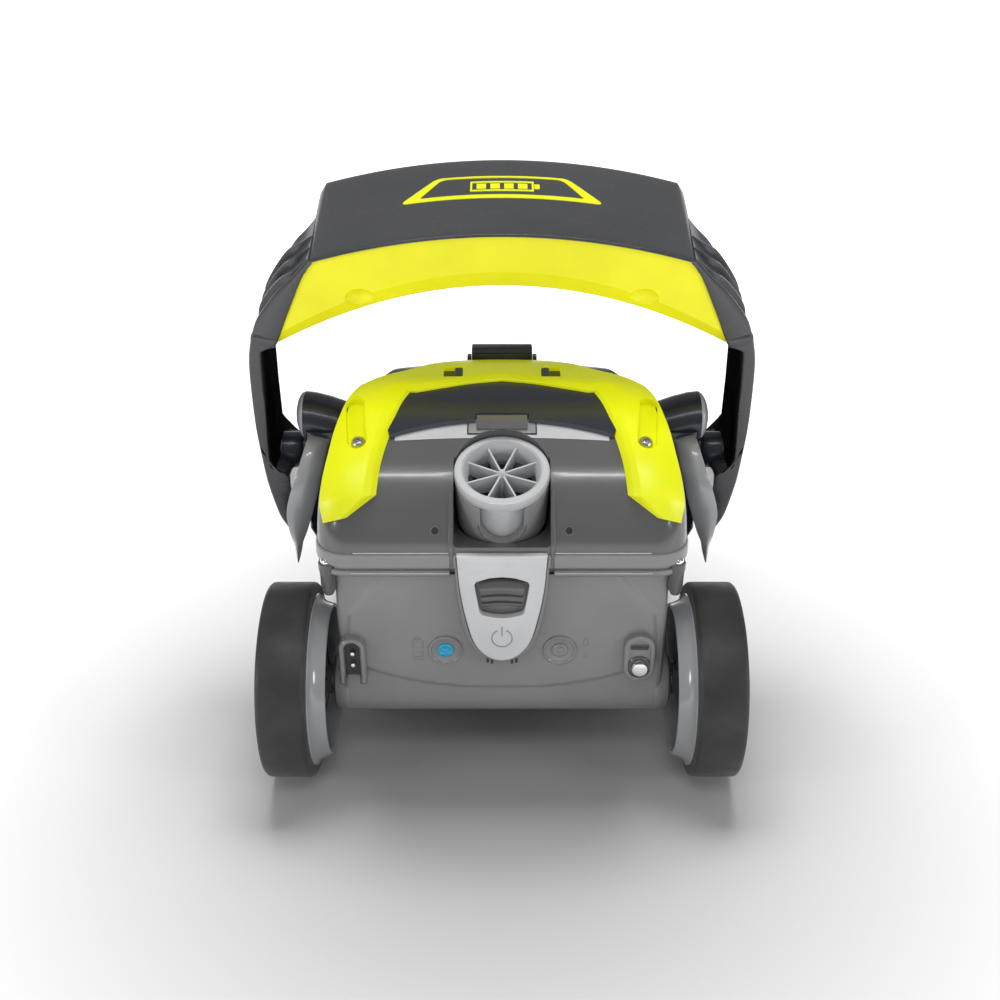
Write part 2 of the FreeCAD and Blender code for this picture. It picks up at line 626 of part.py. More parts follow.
def make_port():
    """The charging port: a hooded arch over a recess with two contact pins."""
    arch = Part.makeCylinder(10, 7, Vector(-111.5, -125.05, 122.5), Vector(0, -1, 0))
    hood = arch.fuse(slab((-121.5, -132.05, 92), (-101.5, -125.05, 122.5)))
    recess = Part.makeCylinder(4.5, 30, Vector(-111.5, -115, 119), Vector(0, -1, 0))
    hood = hood.cut(recess.fuse(slab((-116, -145, 80), (-107, -115, 119))))
    keep(moulded("port_hood", hood))
    liner = slab((-115.2, -124.8, 102.3), (-107.3, -116, 122.7))
    liner = liner.cut(slab((-114.2, -126, 103.3), (-108.3, -117, 121.7)))
    keep(moulded("port_socket", liner))
    pins = [Part.makeCylinder(1.6, 7, Vector(-111.3, -117, z), Vector(0, -1, 0)) for z in (107.5, 117.5)]
    keep(moulded("port_pins", Part.makeCompound(pins)))


def make_sensor():
    """The water sensor: an oval boss with a slot and a round metal stud."""
    oval = Part.makeCylinder(12, 6, Vector(102, -125.05, 122), Vector(0, -1, 0))
    oval = oval.fuse(Part.makeCylinder(12, 6, Vector(102, -125.05, 108), Vector(0, -1, 0)))
    oval = oval.fuse(slab((90, -131.05, 108), (114, -125.05, 122)))
    slot = slab((95.5, -140, 121.5), (109.5, -127, 126.5))
    seat = Part.makeCylinder(6.3, 30, Vector(102.4, -125.1, 107), Vector(0, -1, 0))
    keep(moulded("sensor_boss", oval.cut(slot).cut(seat).removeSplitter()))
    keep(cylinder("sensor_stud", "6", "11", ("102.4", "-125.15", "107"), BACKWARD))


def make_corner_screws():
    screws = []
    for number, (x, y) in enumerate([(-126, -124), (126, -124), (-126, 158), (126, 158)]):
        screws.append(cone(f"corner_screw_{number}", "5", "3.6", "2.4", (x, y, "seam_height - 1.4")))
    keep(group("corner_screws", *screws))


# ---------------------------------------------------------------- side pods

def make_pods():
    """The shoulders beside the dome that the handle turns on, with their fairings over the wheels."""
    pivot_y, pivot_z = size("handle_pivot_y"), size("handle_pivot_z")
    neck = Part.makeCylinder(17.5, 38, Vector(116, 6, 257), Vector(1, 0, 0.06))
    neck = neck.cut(dome(0.8))
    web = prism([(121, -18, 196), (121, 34, 196), (121, 28, 250), (121, -12, 250)], (30, 0, 0))
    web = web.cut(dome(0.8))
    fender = prism([(150, -44, 262), (157, -44, 232), (163, -44, 195), (164.5, -44, 176), (163, -44, 146),
                    (158, -44, 152), (151, -44, 178), (145, -44, 197), (138, -44, 214), (136, -44, 240),
                    (140, -44, 262)], (0, 34, 0))
    boss = Part.makeCylinder(16, 8.7, Vector(151, pivot_y, pivot_z), Vector(1, 0, 0))
    bore = Part.makeCylinder(size("pin_radius") + size("run_gap"), 40, Vector(130, pivot_y, pivot_z),
                             Vector(1, 0, 0))
    pod = neck.fuse(web).fuse(fender).fuse(boss).cut(bore)
    cap = Part.makeCylinder(17.2, 1.4, Vector(154.3, 6, 259.4), Vector(1, 0, 0.06))
    keep(moulded("side_pod_right", pod))
    keep(moulded("side_pod_left", pod.mirror(Vector(), Vector(1, 0, 0))))
    keep(moulded("pod_caps", Part.makeCompound([cap, cap.mirror(Vector(), Vector(1, 0, 0))])))


# ---------------------------------------------------------------- handle

def shoulder(share):
    """The handle arm's outer edge above the hand opening, from its rear face (0) to its front (1)."""
    rear = [(188, 324), (181.4, 341), (174, 355), (163, 367), (150, 378), (138.5, 385)]
    front = [(190, 324), (184.5, 343), (176, 361), (165, 378), (153, 392), (141.5, 406)]
    return [(a + (c - a) * share, b + (d - b) * share) for (a, b), (c, d) in zip(rear, front)]


def arm_section(share):
    """The arm across the machine: outer edge upwards, then the inner edge down to the foot."""
    lower = [(174, 153), (179, 172), (185, 207), (190, 259), (191, 305)]
    inner = [(138 - share, 381 + 21 * share), (147, 366 + 18 * share), (160, 343 + 17 * share),
             (168, 326 + 9 * share), (170, 316), (183, 316), (183, 259), (179.5, 227), (168, 226),
             (167, 207), (167.5, 176)]
    return lower + shoulder(share) + inner


def make_arms():
    rear, depth = size("arm_rear_y"), size("arm_depth")
    pivot_y, pivot_z = size("handle_pivot_y"), size("handle_pivot_z")
    wires = []
    for share in (0, 1):
        points = [Vector(x, rear + depth * share, z) for x, z in arm_section(share)]
        wires.append(Part.makePolygon(points + points[:1]))
    arm = Part.makeLoft(wires, True, True)
    arm = arm.cut(slab((150, rear - 1, 150), (200, -4, 205))).cut(slab((150, 44, 150), (200, 70, 205)))
    arm = arm.fuse(Part.makeCylinder(20, 16, Vector(160, pivot_y, pivot_z), Vector(1, 0, 0)))
    pin = Part.makeCylinder(size("pin_radius"), 32, Vector(146, pivot_y, pivot_z), Vector(1, 0, 0))
    arm = arm.cut(pin).removeSplitter()
    keep(moulded("handle_arm_right", arm))
    keep(moulded("handle_arm_left", arm.mirror(Vector(), Vector(1, 0, 0))))
    keep(moulded("handle_pins", Part.makeCompound([pin, pin.mirror(Vector(), Vector(1, 0, 0))])))
    return both_sides(arm)


def arch(half_width, crown, drop, y):
    """Three points of an arch over the machine, from side to side at one y."""
    return [Vector(-half_width, y, crown - drop), Vector(0, y, crown), Vector(half_width, y, crown - drop)]


def arched_plate(levels, thickness):
    """A plate whose cross-section at each level is a strip of an arch."""
    wires = []
    for half_width, crown, drop, y in levels:
        top = arch(half_width, crown, drop, y)
        under = [point - Vector(0, 0, thickness) for point in top]
        edges = [Part.Arc(*top).toShape(), Part.LineSegment(top[2], under[2]).toShape(),
                 Part.Arc(*reversed(under)).toShape(), Part.LineSegment(under[0], top[0]).toShape()]
        wires.append(Part.Wire(edges))
    return Part.makeLoft(wires, True, True)


def grip_face(rear):
    """The outline of the grip between its two arches, on the handle's rear plane."""
    upper = [Vector(x, rear, z) for x, z in ((-136, 381), (0, 398.8), (136, 381))]
    under = [Vector(x, rear, z) for x, z in ((165, 325), (0, 366), (-165, 325))]
    edges = [Part.Arc(*upper).toShape(), Part.LineSegment(upper[2], under[0]).toShape(),
             Part.Arc(*under).toShape(), Part.LineSegment(under[2], upper[0]).toShape()]
    return Part.Face(Part.Wire(edges))


def make_top(arms):
    """The arched top plate, the lime grip under its rear edge and the emblem let into it."""
    rear = size("arm_rear_y")
    front = rear + size("grip_depth")
    plan = prism([(-76, 31, 380), (76, 31, 380), (50, 63, 380), (-50, 63, 380)], (0, 0, 80))
    emblem = arched_plate([(138, 405.6, 19, rear), (137, 432.6, 18, front)], 1.6).common(plan)
    plate = arched_plate([(138, 405, 19, rear), (137, 432, 18, front)], 6).cut(emblem).cut(arms)
    keep(moulded("handle_top", plate))
    keep(moulded("emblem", emblem))
    grip = grip_face(rear).extrude(Vector(0, 30, 0)).cut(arms).cut(plate)
    keep(moulded("lime_grip", grip))
    return plate


def make_louvres(arms, plate):
    """Overlapping fins that follow the handle's shoulders, one behind the other."""
    fins = []
    for share in (0.2, 0.5, 0.8):
        edge = shoulder(share)[1:]
        proud = [(x + 3, z + 2.6) for x, z in edge]
        y = size("arm_rear_y") + size("arm_depth") * share
        outline = [(x, y, z) for x, z in proud] + [(x - 2, y, z - 2) for x, z in reversed(edge)]
        fin = prism(outline, (0, 3, 0)).cut(arms).cut(plate)
        fins.append(max(fin.Solids, key=lambda solid: solid.Volume))
    mirrored = [fin.mirror(Vector(), Vector(1, 0, 0)) for fin in fins]
    keep(moulded("shoulder_louvres", Part.makeCompound(fins + mirrored)))


def make_machine():
    make_lower_housing()
    make_flange()
    make_upper_shell()
    make_lid()
    make_band()
    make_nozzle()
    make_impeller()
    make_filter()
    make_inner_works()
    make_base()
    make_front()
    for side, word in ((-1, "left"), (1, "right")):
        make_rear_wheel(side, word)
        make_front_wheel(side, word)
    make_axles()
    make_control_plate()
    make_lamps()
    make_port()
    make_sensor()
    make_corner_screws()
    make_pods()
    arms = make_arms()
    plate = make_top(arms)
    make_louvres(arms, plate)


def check_and_write():
    doc.recompute()
    for thing in doc.Objects:
        if {"Invalid", "Error"} & set(thing.State):
            raise RuntimeError(f"{thing.Name} failed: {thing.State}")
    os.makedirs("parts", exist_ok=True)
    for piece in pieces:
        if piece.Shape.isNull() or not piece.Shape.isValid():
            raise RuntimeError(f"{piece.Label} has no valid shape")
        piece.Shape.exportStep(f"parts/{piece.Label}.step")
        print(f"{piece.Label}: {piece.Shape.Volume / 1000:.1f} cm3, {len(piece.Shape.Solids)} solid(s)")


make_machine()
check_and_write()
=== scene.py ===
"""Looks of the pool cleaner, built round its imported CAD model.

Shapes are written in millimetres, in the model's own frame (rear is -Y, up is +Z), and build()
turns them into metres. The dome's sizes repeat the CAD's, because its lid and band follow it.
"""
import bmesh
import bpy
import json
import math
from mathutils import Matrix, Vector


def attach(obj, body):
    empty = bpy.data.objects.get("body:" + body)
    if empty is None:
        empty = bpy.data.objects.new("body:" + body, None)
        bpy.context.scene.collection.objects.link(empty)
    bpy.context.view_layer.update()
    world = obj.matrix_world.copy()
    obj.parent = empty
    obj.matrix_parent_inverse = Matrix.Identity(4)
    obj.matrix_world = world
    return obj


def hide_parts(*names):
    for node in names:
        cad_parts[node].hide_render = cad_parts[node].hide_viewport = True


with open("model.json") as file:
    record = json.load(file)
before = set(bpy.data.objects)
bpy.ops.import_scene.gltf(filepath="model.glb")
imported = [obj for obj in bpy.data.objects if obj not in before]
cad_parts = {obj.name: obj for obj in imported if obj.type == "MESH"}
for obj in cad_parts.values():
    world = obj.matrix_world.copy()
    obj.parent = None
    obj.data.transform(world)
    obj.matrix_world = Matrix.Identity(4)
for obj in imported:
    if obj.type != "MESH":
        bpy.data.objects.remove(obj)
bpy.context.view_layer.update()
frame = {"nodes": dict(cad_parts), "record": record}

MM = 0.001
NODES = frame["nodes"]

SIDES = ((-1, "left"), (1, "right"))

# the dome: it grows from these centres by these half axes, above the seam
SEAM, RISE, REAR, REAR_RUN, FRONT_RUN, FRONT_POWER = 195, 93, -20, 113, 168, 1.32
SIDE, SIDE_CENTRE, CORNER, CORNER_GROWTH = 64, 70, 25, 120
LID_PROUD, BAND_PROUD = 3.6, 8
AXLE_Y, WHEEL_R = -100, 75
FRONT_AXLE_Y, FRONT_WHEEL_R = 128, 42
NOZZLE_AT, NOZZLE_TILT = Vector((0, -106, 260.2)), math.radians(19)
PANEL_Y, PANEL_RAISED = -125, 2.2
PIVOT_Y, PIVOT_Z = 20, 215
ARM_REAR, GRIP_DEPTH = -20, 112


# ------------------------------------------------------------------ mesh helpers

def build(name, verts, faces, smooth=32):
    """A mesh object from points in millimetres. Edges sharper than smooth degrees stay sharp."""
    mesh = bpy.data.meshes.new(name)
    mesh.from_pydata([Vector(v) * MM for v in verts], [], faces)
    obj = bpy.data.objects.new(name, mesh)
    bpy.context.scene.collection.objects.link(obj)
    tidy(obj, smooth)
    return obj


def tidy(obj, smooth=32):
    """Merge doubles, point the normals outward and shade smoothly up to an angle."""
    mesh = bmesh.new()
    mesh.from_mesh(obj.data)
    bmesh.ops.remove_doubles(mesh, verts=mesh.verts, dist=1e-6)
    bmesh.ops.dissolve_degenerate(mesh, edges=mesh.edges, dist=1e-7)
    bmesh.ops.recalc_face_normals(mesh, faces=mesh.faces)
    limit = math.radians(smooth)
    for edge in mesh.edges:
        edge.smooth = len(edge.link_faces) == 2 and edge.calc_face_angle(0) < limit
    for face in mesh.faces:
        face.smooth = True
    mesh.to_mesh(obj.data)
    mesh.free()
    return obj


def skin(name, rings, wrap=True, caps=True, loop=False, smooth=32):
    """Joins equal rings of points into a surface. wrap closes each ring, loop joins last to first."""
    count = len(rings[0])
    verts = [point for ring in rings for point in ring]
    faces = []
    steps = len(rings) if loop else len(rings) - 1
    for row in range(steps):
        a, b = row * count, (row + 1) % len(rings) * count
        for col in range(count if wrap else count - 1):
            nxt = (col + 1) % count
            faces.append((a + col, a + nxt, b + nxt, b + col))
    if caps and wrap and not loop:
        faces.append(tuple(reversed(range(count))))
        faces.append(tuple(range(len(verts) - count, len(verts))))
    return build(name, verts, faces, smooth)


def lathe(name, profile, place=Matrix.Identity(4), steps=96, smooth=32):
    """Turns (radius, height) points about local Z. A radius of 0 closes the end."""
    rings = []
    for step in range(steps):
        angle = 2 * math.pi * step / steps
        rings.append([place @ Vector((r * math.cos(angle), r * math.sin(angle), h)) for r, h in profile])
    return skin(name, rings, wrap=True, caps=False, loop=True, smooth=smooth)


def degrees(first, last, step):
    """Angles in radians, from the first to the last that are given in degrees."""
    return [math.radians(first + step * k) for k in range(round((last - first) / step) + 1)]


def rounded(points, radius, steps=5):
    """An outline with its corners rounded; radius may be one number or one for each point."""
    result = []
    for number, point in enumerate(points):
        here = Vector(point)
        before = Vector(points[number - 1])
        after = Vector(points[(number + 1) % len(points)])
        wanted = radius[number] if isinstance(radius, (list, tuple)) else radius
        to_before, to_after = before - here, after - here
        turn = to_before.angle(to_after)
        reach = min(wanted / math.tan(turn / 2), to_before.length * 0.48, to_after.length * 0.48)
        start = here + to_before.normalized() * reach
        end = here + to_after.normalized() * reach
        if wanted <= 0 or turn > 3.0:
            result.append(here)
            continue
        for step in range(steps + 1):
            t = step / steps
            result.append(start * (1 - t) ** 2 + here * 2 * t * (1 - t) + end * t ** 2)
    return result


def along(axis, level, a, b):
    """The point at a level on an axis, with the other two coordinates in their order."""
    return {"x": (level, a, b), "y": (a, level, b), "z": (a, b, level)}[axis]


def plate(name, outline, axis, low, high, edge=0.8, steps=3, smooth=32):
    """A flat outline of (a, b) points, thickened along an axis from low to high, its rims rounded."""
    def lift(point, inset, level):
        a, b = point
        middle_a = sum(p[0] for p in outline) / len(outline)
        middle_b = sum(p[1] for p in outline) / len(outline)
        reach = math.hypot(a - middle_a, b - middle_b) or 1
        a, b = a - (a - middle_a) / reach * inset, b - (b - middle_b) / reach * inset
        return along(axis, level, a, b)
    rings = []
    for end, sign in ((low, 1), (high, -1)):
        arc = [(edge * (1 - math.sin(math.pi / 2 * k / steps)), end + sign * edge *
                (1 - math.cos(math.pi / 2 * k / steps))) for k in range(steps + 1)]
        rings += arc if sign > 0 else reversed(arc)
    return skin(name, [[lift(point, inset, level) for point in outline] for inset, level in rings],
                smooth=smooth)


def bevel(obj, width=0.8, segments=3, angle=35):
    """Rounds the sharp edges by a width in millimetres."""
    modifier = obj.modifiers.new("edges", "BEVEL")
    modifier.width = width * MM
    modifier.segments = segments
    modifier.limit_method = "ANGLE"
    modifier.angle_limit = math.radians(angle)
    modifier.harden_normals = True
    return obj


def apply_modifiers(obj):
    """Replaces the mesh by what its modifiers make of it."""
    bpy.context.view_layer.update()
    shown = obj.evaluated_get(bpy.context.evaluated_depsgraph_get())
    mesh = bpy.data.meshes.new_from_object(shown)
    obj.modifiers.clear()
    obj.data = mesh
    return obj


def carve(obj, *cutters, smooth=32, operation="DIFFERENCE"):
    """Cuts closed shapes out of a piece, or keeps what lies inside them, and removes the cutters."""
    for cutter in cutters:
        modifier = obj.modifiers.new("cut", "BOOLEAN")
        modifier.operation = operation
        modifier.object = cutter
        modifier.solver = "EXACT"
        apply_modifiers(obj)
        bpy.data.objects.remove(cutter)
    return tidy(obj, smooth)


def joined(name, objects):
    """One object from several."""
    mesh = bmesh.new()
    for obj in objects:
        apply_modifiers(obj)
        mesh.from_mesh(obj.data)
        bpy.data.objects.remove(obj)
    result = bpy.data.objects.new(name, bpy.data.meshes.new(name))
    mesh.to_mesh(result.data)
    mesh.free()
    bpy.context.scene.collection.objects.link(result)
    return result


def finish_piece(obj, body, look, *nodes, slot=None):
    """Gives a piece its body and its look, and hides the CAD nodes that it stands for.

    slot is not used.
    """
    obj.data.materials.clear()
    obj.data.materials.append(MAT[look])
    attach(obj, body)
    if nodes:
        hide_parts(*nodes)
    return obj


# ------------------------------------------------------------------ materials

def new_material(name):
    """A node material with its tree and its shader."""
    material = bpy.data.materials.new(name)
    material.use_nodes = True
    tree = material.node_tree
    return material, tree, tree.nodes["Principled BSDF"]


def connect(tree, node, **inputs):
    """Sets or links the node's inputs, named with _ for a space, and gives back the node."""
    for name, value in inputs.items():
        socket = node.inputs[name.replace("_", " ")]
        if isinstance(value, bpy.types.NodeSocket):
            tree.links.new(value, socket)
        else:
            socket.default_value = value
    return node


def add(tree, kind, **inputs):
    """A new shader node of a kind, with its inputs set or linked."""
    return connect(tree, tree.nodes.new("ShaderNode" + kind), **inputs)


def object_place(tree):
    """The point shaded, in the object's own coordinates."""
    return add(tree, "TexCoord").outputs["Object"]


def noise(tree, place, scale, detail=3.0, stretch=None):
    """A noise texture's factor, which may be stretched."""
    if stretch:
        place = add(tree, "Mapping", Scale=stretch, Vector=place).outputs["Vector"]
    return add(tree, "TexNoise", Scale=scale, Detail=detail, Vector=place).outputs["Fac"]


def spread(tree, value, low, high, start=0.3, end=0.7):
    """Maps a value from start..end to low..high."""
    node = add(tree, "MapRange", From_Min=start, From_Max=end, To_Min=low, To_Max=high, Value=value)
    return node.outputs["Result"]


def maths(tree, operation, first, second):
    """The result of a sum on two sockets."""
    node = tree.nodes.new("ShaderNodeMath")
    node.operation = operation
    tree.links.new(first, node.inputs[0])
    tree.links.new(second, node.inputs[1])
    return node.outputs["Value"]


def blend_colours(tree, value, low, high):
    """From low to high as the value goes from 0 to 1. Each is a colour or a socket."""
    node = tree.nodes.new("ShaderNodeMix")
    node.data_type = "RGBA"
    low = low if isinstance(low, bpy.types.NodeSocket) else (*low, 1)
    return connect(tree, node, A=low, B=(*high, 1), Factor=value).outputs["Result"]


def bump(tree, height, strength, distance, **below):
    """A bumped normal, which may lie over another that is given as Normal."""
    return add(tree, "Bump", Strength=strength, Distance=distance, Height=height, **below).outputs["Normal"]


def plastic(name, colour, rough=0.3, grain=0.03, coat=0.0, wear_and_highlight=0.12):
    """Moulded plastic: faint colour drift, fine moulded grain, handling marks, and paler edges that are
    partly rub wear and partly a painted highlight.
    """
    material, tree, shader = new_material(name)
    place = object_place(tree)
    drift = spread(tree, noise(tree, place, 18), 0.0, 1.0)
    body = blend_colours(tree, drift, [c * 0.93 for c in colour], [min(1, c * 1.05 + 0.002) for c in colour])
    # paler edges: partly rub wear, partly a painted highlight where the edges catch the light
    edge = spread(tree, tree.nodes.new("ShaderNodeNewGeometry").outputs["Pointiness"], 0.0, 1.0, 0.52, 0.60)
    rubbed_and_highlit = maths(tree, "MULTIPLY", edge, spread(tree, noise(tree, place, 240, 5), 0.0, wear_and_highlight))
    worn_and_highlit = blend_colours(tree, rubbed_and_highlit, body, [min(1, c * 1.6 + 0.06) for c in colour])
    marks = spread(tree, noise(tree, place, 9, 6, (1, 14, 3)), max(0.02, rough - 0.015), rough + 0.03)
    fine = bump(tree, noise(tree, place, 2600, 2), grain * 4, 0.00006)
    normal = bump(tree, noise(tree, place, 60, 4, (1, 40, 4)), grain, 0.00008, Normal=fine)
    connect(tree, shader, Base_Color=worn_and_highlit, Roughness=marks, Normal=normal, IOR=1.5, Coat_Weight=coat,
            Coat_Roughness=0.08)
    return material


def painted_glow(material, strength):
    """Painted light: the plastic glows in its own colour, which lifts it where it lies in shade."""
    tree = material.node_tree
    shader = tree.nodes["Principled BSDF"]
    colour = shader.inputs["Base Color"].links[0].from_socket
    connect(tree, shader, Emission_Color=colour, Emission_Strength=strength)
    return material


def rubber(name, colour, rough=0.62, shine=0.5):
    """Rubber: a fine pebble, dusty patches and a soft sheen."""
    material, tree, shader = new_material(name)
    place = object_place(tree)
    dust = spread(tree, noise(tree, place, 32, 6), 0.0, 1.0, 0.4, 0.75)
    dusty = blend_colours(tree, dust, colour, [c * 1.5 + 0.006 for c in colour])
    patches = spread(tree, noise(tree, place, 75, 5), rough - 0.08, rough + 0.1)
    pebble = add(tree, "TexVoronoi", Scale=1400, Vector=place).outputs["Distance"]
    connect(tree, shader, Base_Color=dusty, Roughness=patches, Normal=bump(tree, pebble, 0.18, 0.0001),
            Sheen_Weight=0.16 * shine, Specular_IOR_Level=shine)
    return material


def metal(name, colour, rough, brushed=0.0):
    """Metal with handling marks; brushed adds fine lines across it."""
    material, tree, shader = new_material(name)
    place = object_place(tree)
    smudge = spread(tree, noise(tree, place, 130, 5), 0.0, 1.0)
    handled = blend_colours(tree, smudge, [c * 0.9 for c in colour], colour)
    marks = spread(tree, noise(tree, place, 300, 4), rough, rough + 0.14)
    lines = bump(tree, noise(tree, place, 500, 3, (1, 12, 12)), 0.05 + brushed, 0.00008)
    connect(tree, shader, Metallic=1.0, Base_Color=handled, Roughness=marks, Normal=lines)
    return material


def lens(name, colour, glow):
    """A clear coloured lens that gives back some light of its own colour."""
    material, tree, shader = new_material(name)
    place = object_place(tree)
    depth = spread(tree, noise(tree, place, 260, 2), 0.0, 1.0)
    tinted = blend_colours(tree, depth, [c * 0.85 for c in colour], colour)
    polish = spread(tree, noise(tree, place, 90, 3), 0.05, 0.13)
    connect(tree, shader, Base_Color=tinted, Emission_Color=tinted, Emission_Strength=glow, Roughness=polish,
            Coat_Weight=0.6)
    return material


def woven(name, colour):
    """A fine filter mesh: two crossed waves."""
    material, tree, shader = new_material(name)
    place = object_place(tree)
    heights = []
    for direction in ("X", "Z"):
        wave = add(tree, "TexWave", Scale=450, Vector=place)
        wave.bands_direction = direction
        heights.append(wave.outputs["Fac"])
    cross = maths(tree, "MAXIMUM", *heights)
    threads = blend_colours(tree, cross, [c * 0.4 for c in colour], colour)
    connect(tree, shader, Base_Color=threads, Normal=bump(tree, cross, 0.5, 0.0002), Roughness=0.8)
    return material


MAT = {
    "tub_grey": plastic("tub_grey", (0.19, 0.19, 0.192), 0.3, 0.03, 0.25),
    "shell_grey": plastic("shell_grey", (0.075, 0.075, 0.077), 0.2, 0.02, 0.4),
    "navy": plastic("navy", (0.012, 0.015, 0.027), 0.3, 0.03, 0.2),
    "handle_grey": plastic("handle_grey", (0.036, 0.037, 0.041), 0.26, 0.012, 0.3),
    # both lime plastics glow in their own colour: painted light that lifts them out of the handle's shade
    "lime": painted_glow(plastic("lime", (0.46, 0.485, 0.0), 0.34, 0.03, 0.0, 0.0), 0.5),
    "lime_grip": painted_glow(plastic("lime_grip", (0.72, 0.69, 0.0), 0.5, 0.03, 0.0, 0.0), 0.1),
    "silver": plastic("silver", (0.38, 0.39, 0.405), 0.3, 0.03, 0.3),
    "silver_blade": plastic("silver_blade", (0.26, 0.265, 0.275), 0.18, 0.02, 0.5),
    "light_grey": plastic("light_grey", (0.5, 0.51, 0.52), 0.28, 0.02, 0.4),
    "black_plastic": plastic("black_plastic", (0.012, 0.012, 0.014), 0.36, 0.05, 0.1),
    "board": plastic("board", (0.01, 0.09, 0.035), 0.4, 0.05),
    "tyre": rubber("tyre", (0.016, 0.016, 0.0165), 0.5),
    # near-black without gloss: painted shadow for the arms' inner faces
    "painted_shadow_black": rubber("painted_shadow_black", (0.004, 0.004, 0.005), 0.9, 0.0),
    "rubber": rubber("rubber", (0.009, 0.009, 0.009), 0.6),
    "chrome": metal("chrome", (0.86, 0.86, 0.87), 0.07),
    "steel": metal("steel", (0.58, 0.58, 0.6), 0.24, 0.25),
    "blue_lens": lens("blue_lens", (0.0, 0.27, 0.45), 0.12),
    "grey_lens": lens("grey_lens", (0.20, 0.20, 0.205), 0.0),
    "mesh": woven("mesh", (0.66, 0.66, 0.62)),
}


def paint_cad_nodes():
    """Every CAD node starts with the material of its slot in the record."""
    slots = {part["node"]: part["material_slot"] for part in frame["record"]["subparts"]}
    for name, obj in NODES.items():
        obj.data.materials.clear()
        obj.data.materials.append(MAT[slots[name]])


# ------------------------------------------------------------------ stage

def make_stage():
    """Pale floor, soft white surround, the lights and the camera."""
    make_floor()
    world = bpy.data.worlds.new("surround")
    world.use_nodes = True
    world.node_tree.nodes["Background"].inputs["Color"].default_value = (1, 1, 1, 1)
    world.node_tree.nodes["Background"].inputs["Strength"].default_value = 0.28
    bpy.context.scene.world = world
    make_lights()
    make_camera()
    bpy.context.scene.view_settings.view_transform = "Standard"


def make_floor():
    """A wide floor with a painted shadow: its colour is darker under the machine, and a painted glow, nil
    near the machine, brightens it outward to white.
    """
    floor = build("floor", [(-6000, -6000, 0), (6000, -6000, 0), (6000, 6000, 0), (-6000, 6000, 0)],
                  [(0, 1, 2, 3)])
    material, tree, shader = new_material("floor")
    place = object_place(tree)
    reach = tree.nodes.new("ShaderNodeVectorMath")
    reach.operation = "DISTANCE"
    tree.links.new(place, reach.inputs[0])
    reach.inputs[1].default_value = (0, -0.14, 0)
    # painted shadow: the floor colour darkens toward the machine
    outward = spread(tree, reach.outputs["Value"], 0.0, 1.0, 0.08, 0.47)
    shade = blend_colours(tree, outward, (0.36, 0.36, 0.36), (0.86, 0.86, 0.86))
    # painted light: the glow is nil near the machine and rises outward
    glow = spread(tree, reach.outputs["Value"], 0.0, 0.84, 0.41, 1.36)
    connect(tree, shader, Base_Color=shade, Roughness=spread(tree, noise(tree, place, 3), 0.5, 0.6),
            Emission_Color=(1, 1, 1, 1), Emission_Strength=glow)
    floor.data.materials.append(material)


def make_lights():
    """Five soft boxes, and one thin strip that only shows as a line in the gloss."""
    soft_box("key_light", (0, 0.5, 2.25), (0, 0, 0.15), 1.3, 50, False)
    soft_box("left_light", (-1.6, -1.0, 0.75), (0, 0, 0.25), 0.5, 7)
    soft_box("right_light", (1.6, -1.0, 0.75), (0, 0, 0.25), 0.5, 7)
    soft_box("rear_light", (0, -2.2, 0.7), (0, 0, 0.2), 1.0, 8, False)
    soft_box("fill_light", (0, -1.3, 1.9), (0, 0, 0.25), 0.8, 7, False)
    glint = soft_box("glint_light", (0, -1.0, 2.2), (0, 0, 0.25), 1.6, 9)
    glint.data.size_y = 0.07
    glint.visible_diffuse = False


def soft_box(name, at, target, width, power, mirrored_in_gloss=True):
    """An area light, places in metres, that may be left out of glossy reflections."""
    light = bpy.data.lights.new(name, "AREA")
    light.shape = "RECTANGLE"
    light.size = width
    light.size_y = width * 0.7
    light.energy = power
    obj = bpy.data.objects.new(name, light)
    obj.location = at
    obj.rotation_euler = (Vector(target) - Vector(at)).to_track_quat("-Z", "Y").to_euler()
    obj.visible_glossy = mirrored_in_gloss
    bpy.context.scene.collection.objects.link(obj)
    return obj


def make_camera():
    """Behind the machine, looking 28 degrees down, with a lens a little longer than normal."""
    camera = bpy.data.cameras.new("camera")
    camera.sensor_width = 36
    camera.lens = 46.7
    camera.shift_x = -0.002
    camera.clip_end = 50
    obj = bpy.data.objects.new("camera", camera)
    obj.location = (0, -0.9269, 0.6718)
    obj.rotation_euler = (math.radians(90 - 28), 0, 0)
    bpy.context.scene.collection.objects.link(obj)
    bpy.context.scene.camera = obj


# ------------------------------------------------------------------ the dome

def dome_sizes(z, grow):
    """Half width, rear and front of the dome's outline at a height."""
    share = min(max((z - SEAM) / (RISE + grow), 0), 1)
    half = SIDE_CENTRE + (SIDE + grow) * (1 - share ** 3) ** (1 / 3)
    rear_run = (REAR_RUN + grow) * math.sqrt(1 - share * share)
    front_run = (FRONT_RUN + grow) * (1 - share ** FRONT_POWER) ** (1 / FRONT_POWER)
    return half, REAR - rear_run, front_run


def dome_corners(z, rear, front, grow):
    """Radii of the outline's rear and front corners at a height."""
    share = min(max((z - SEAM) / (RISE + grow), 0), 1)
    back = min(CORNER + grow, (front - rear) / 2 - 1)
    return back, max(back, min(back + CORNER_GROWTH * share, front - rear - back - 2))


def inside_dome(point, grow):
    """Whether a point lies inside the dome, grown by a distance."""
    x, y, z = point
    if z > SEAM + RISE + grow:
        return False
    half, rear, front = dome_sizes(z, grow)
    back, fore = dome_corners(z, rear, front, grow)
    radius, over_y = (fore, y - front + fore) if y > front - fore else (back, rear + back - y)
    over_x = abs(x) - (half - radius)
    if over_x <= 0 or over_y <= 0:
        return abs(x) <= half and rear <= y <= front
    return math.hypot(over_x, over_y) <= radius


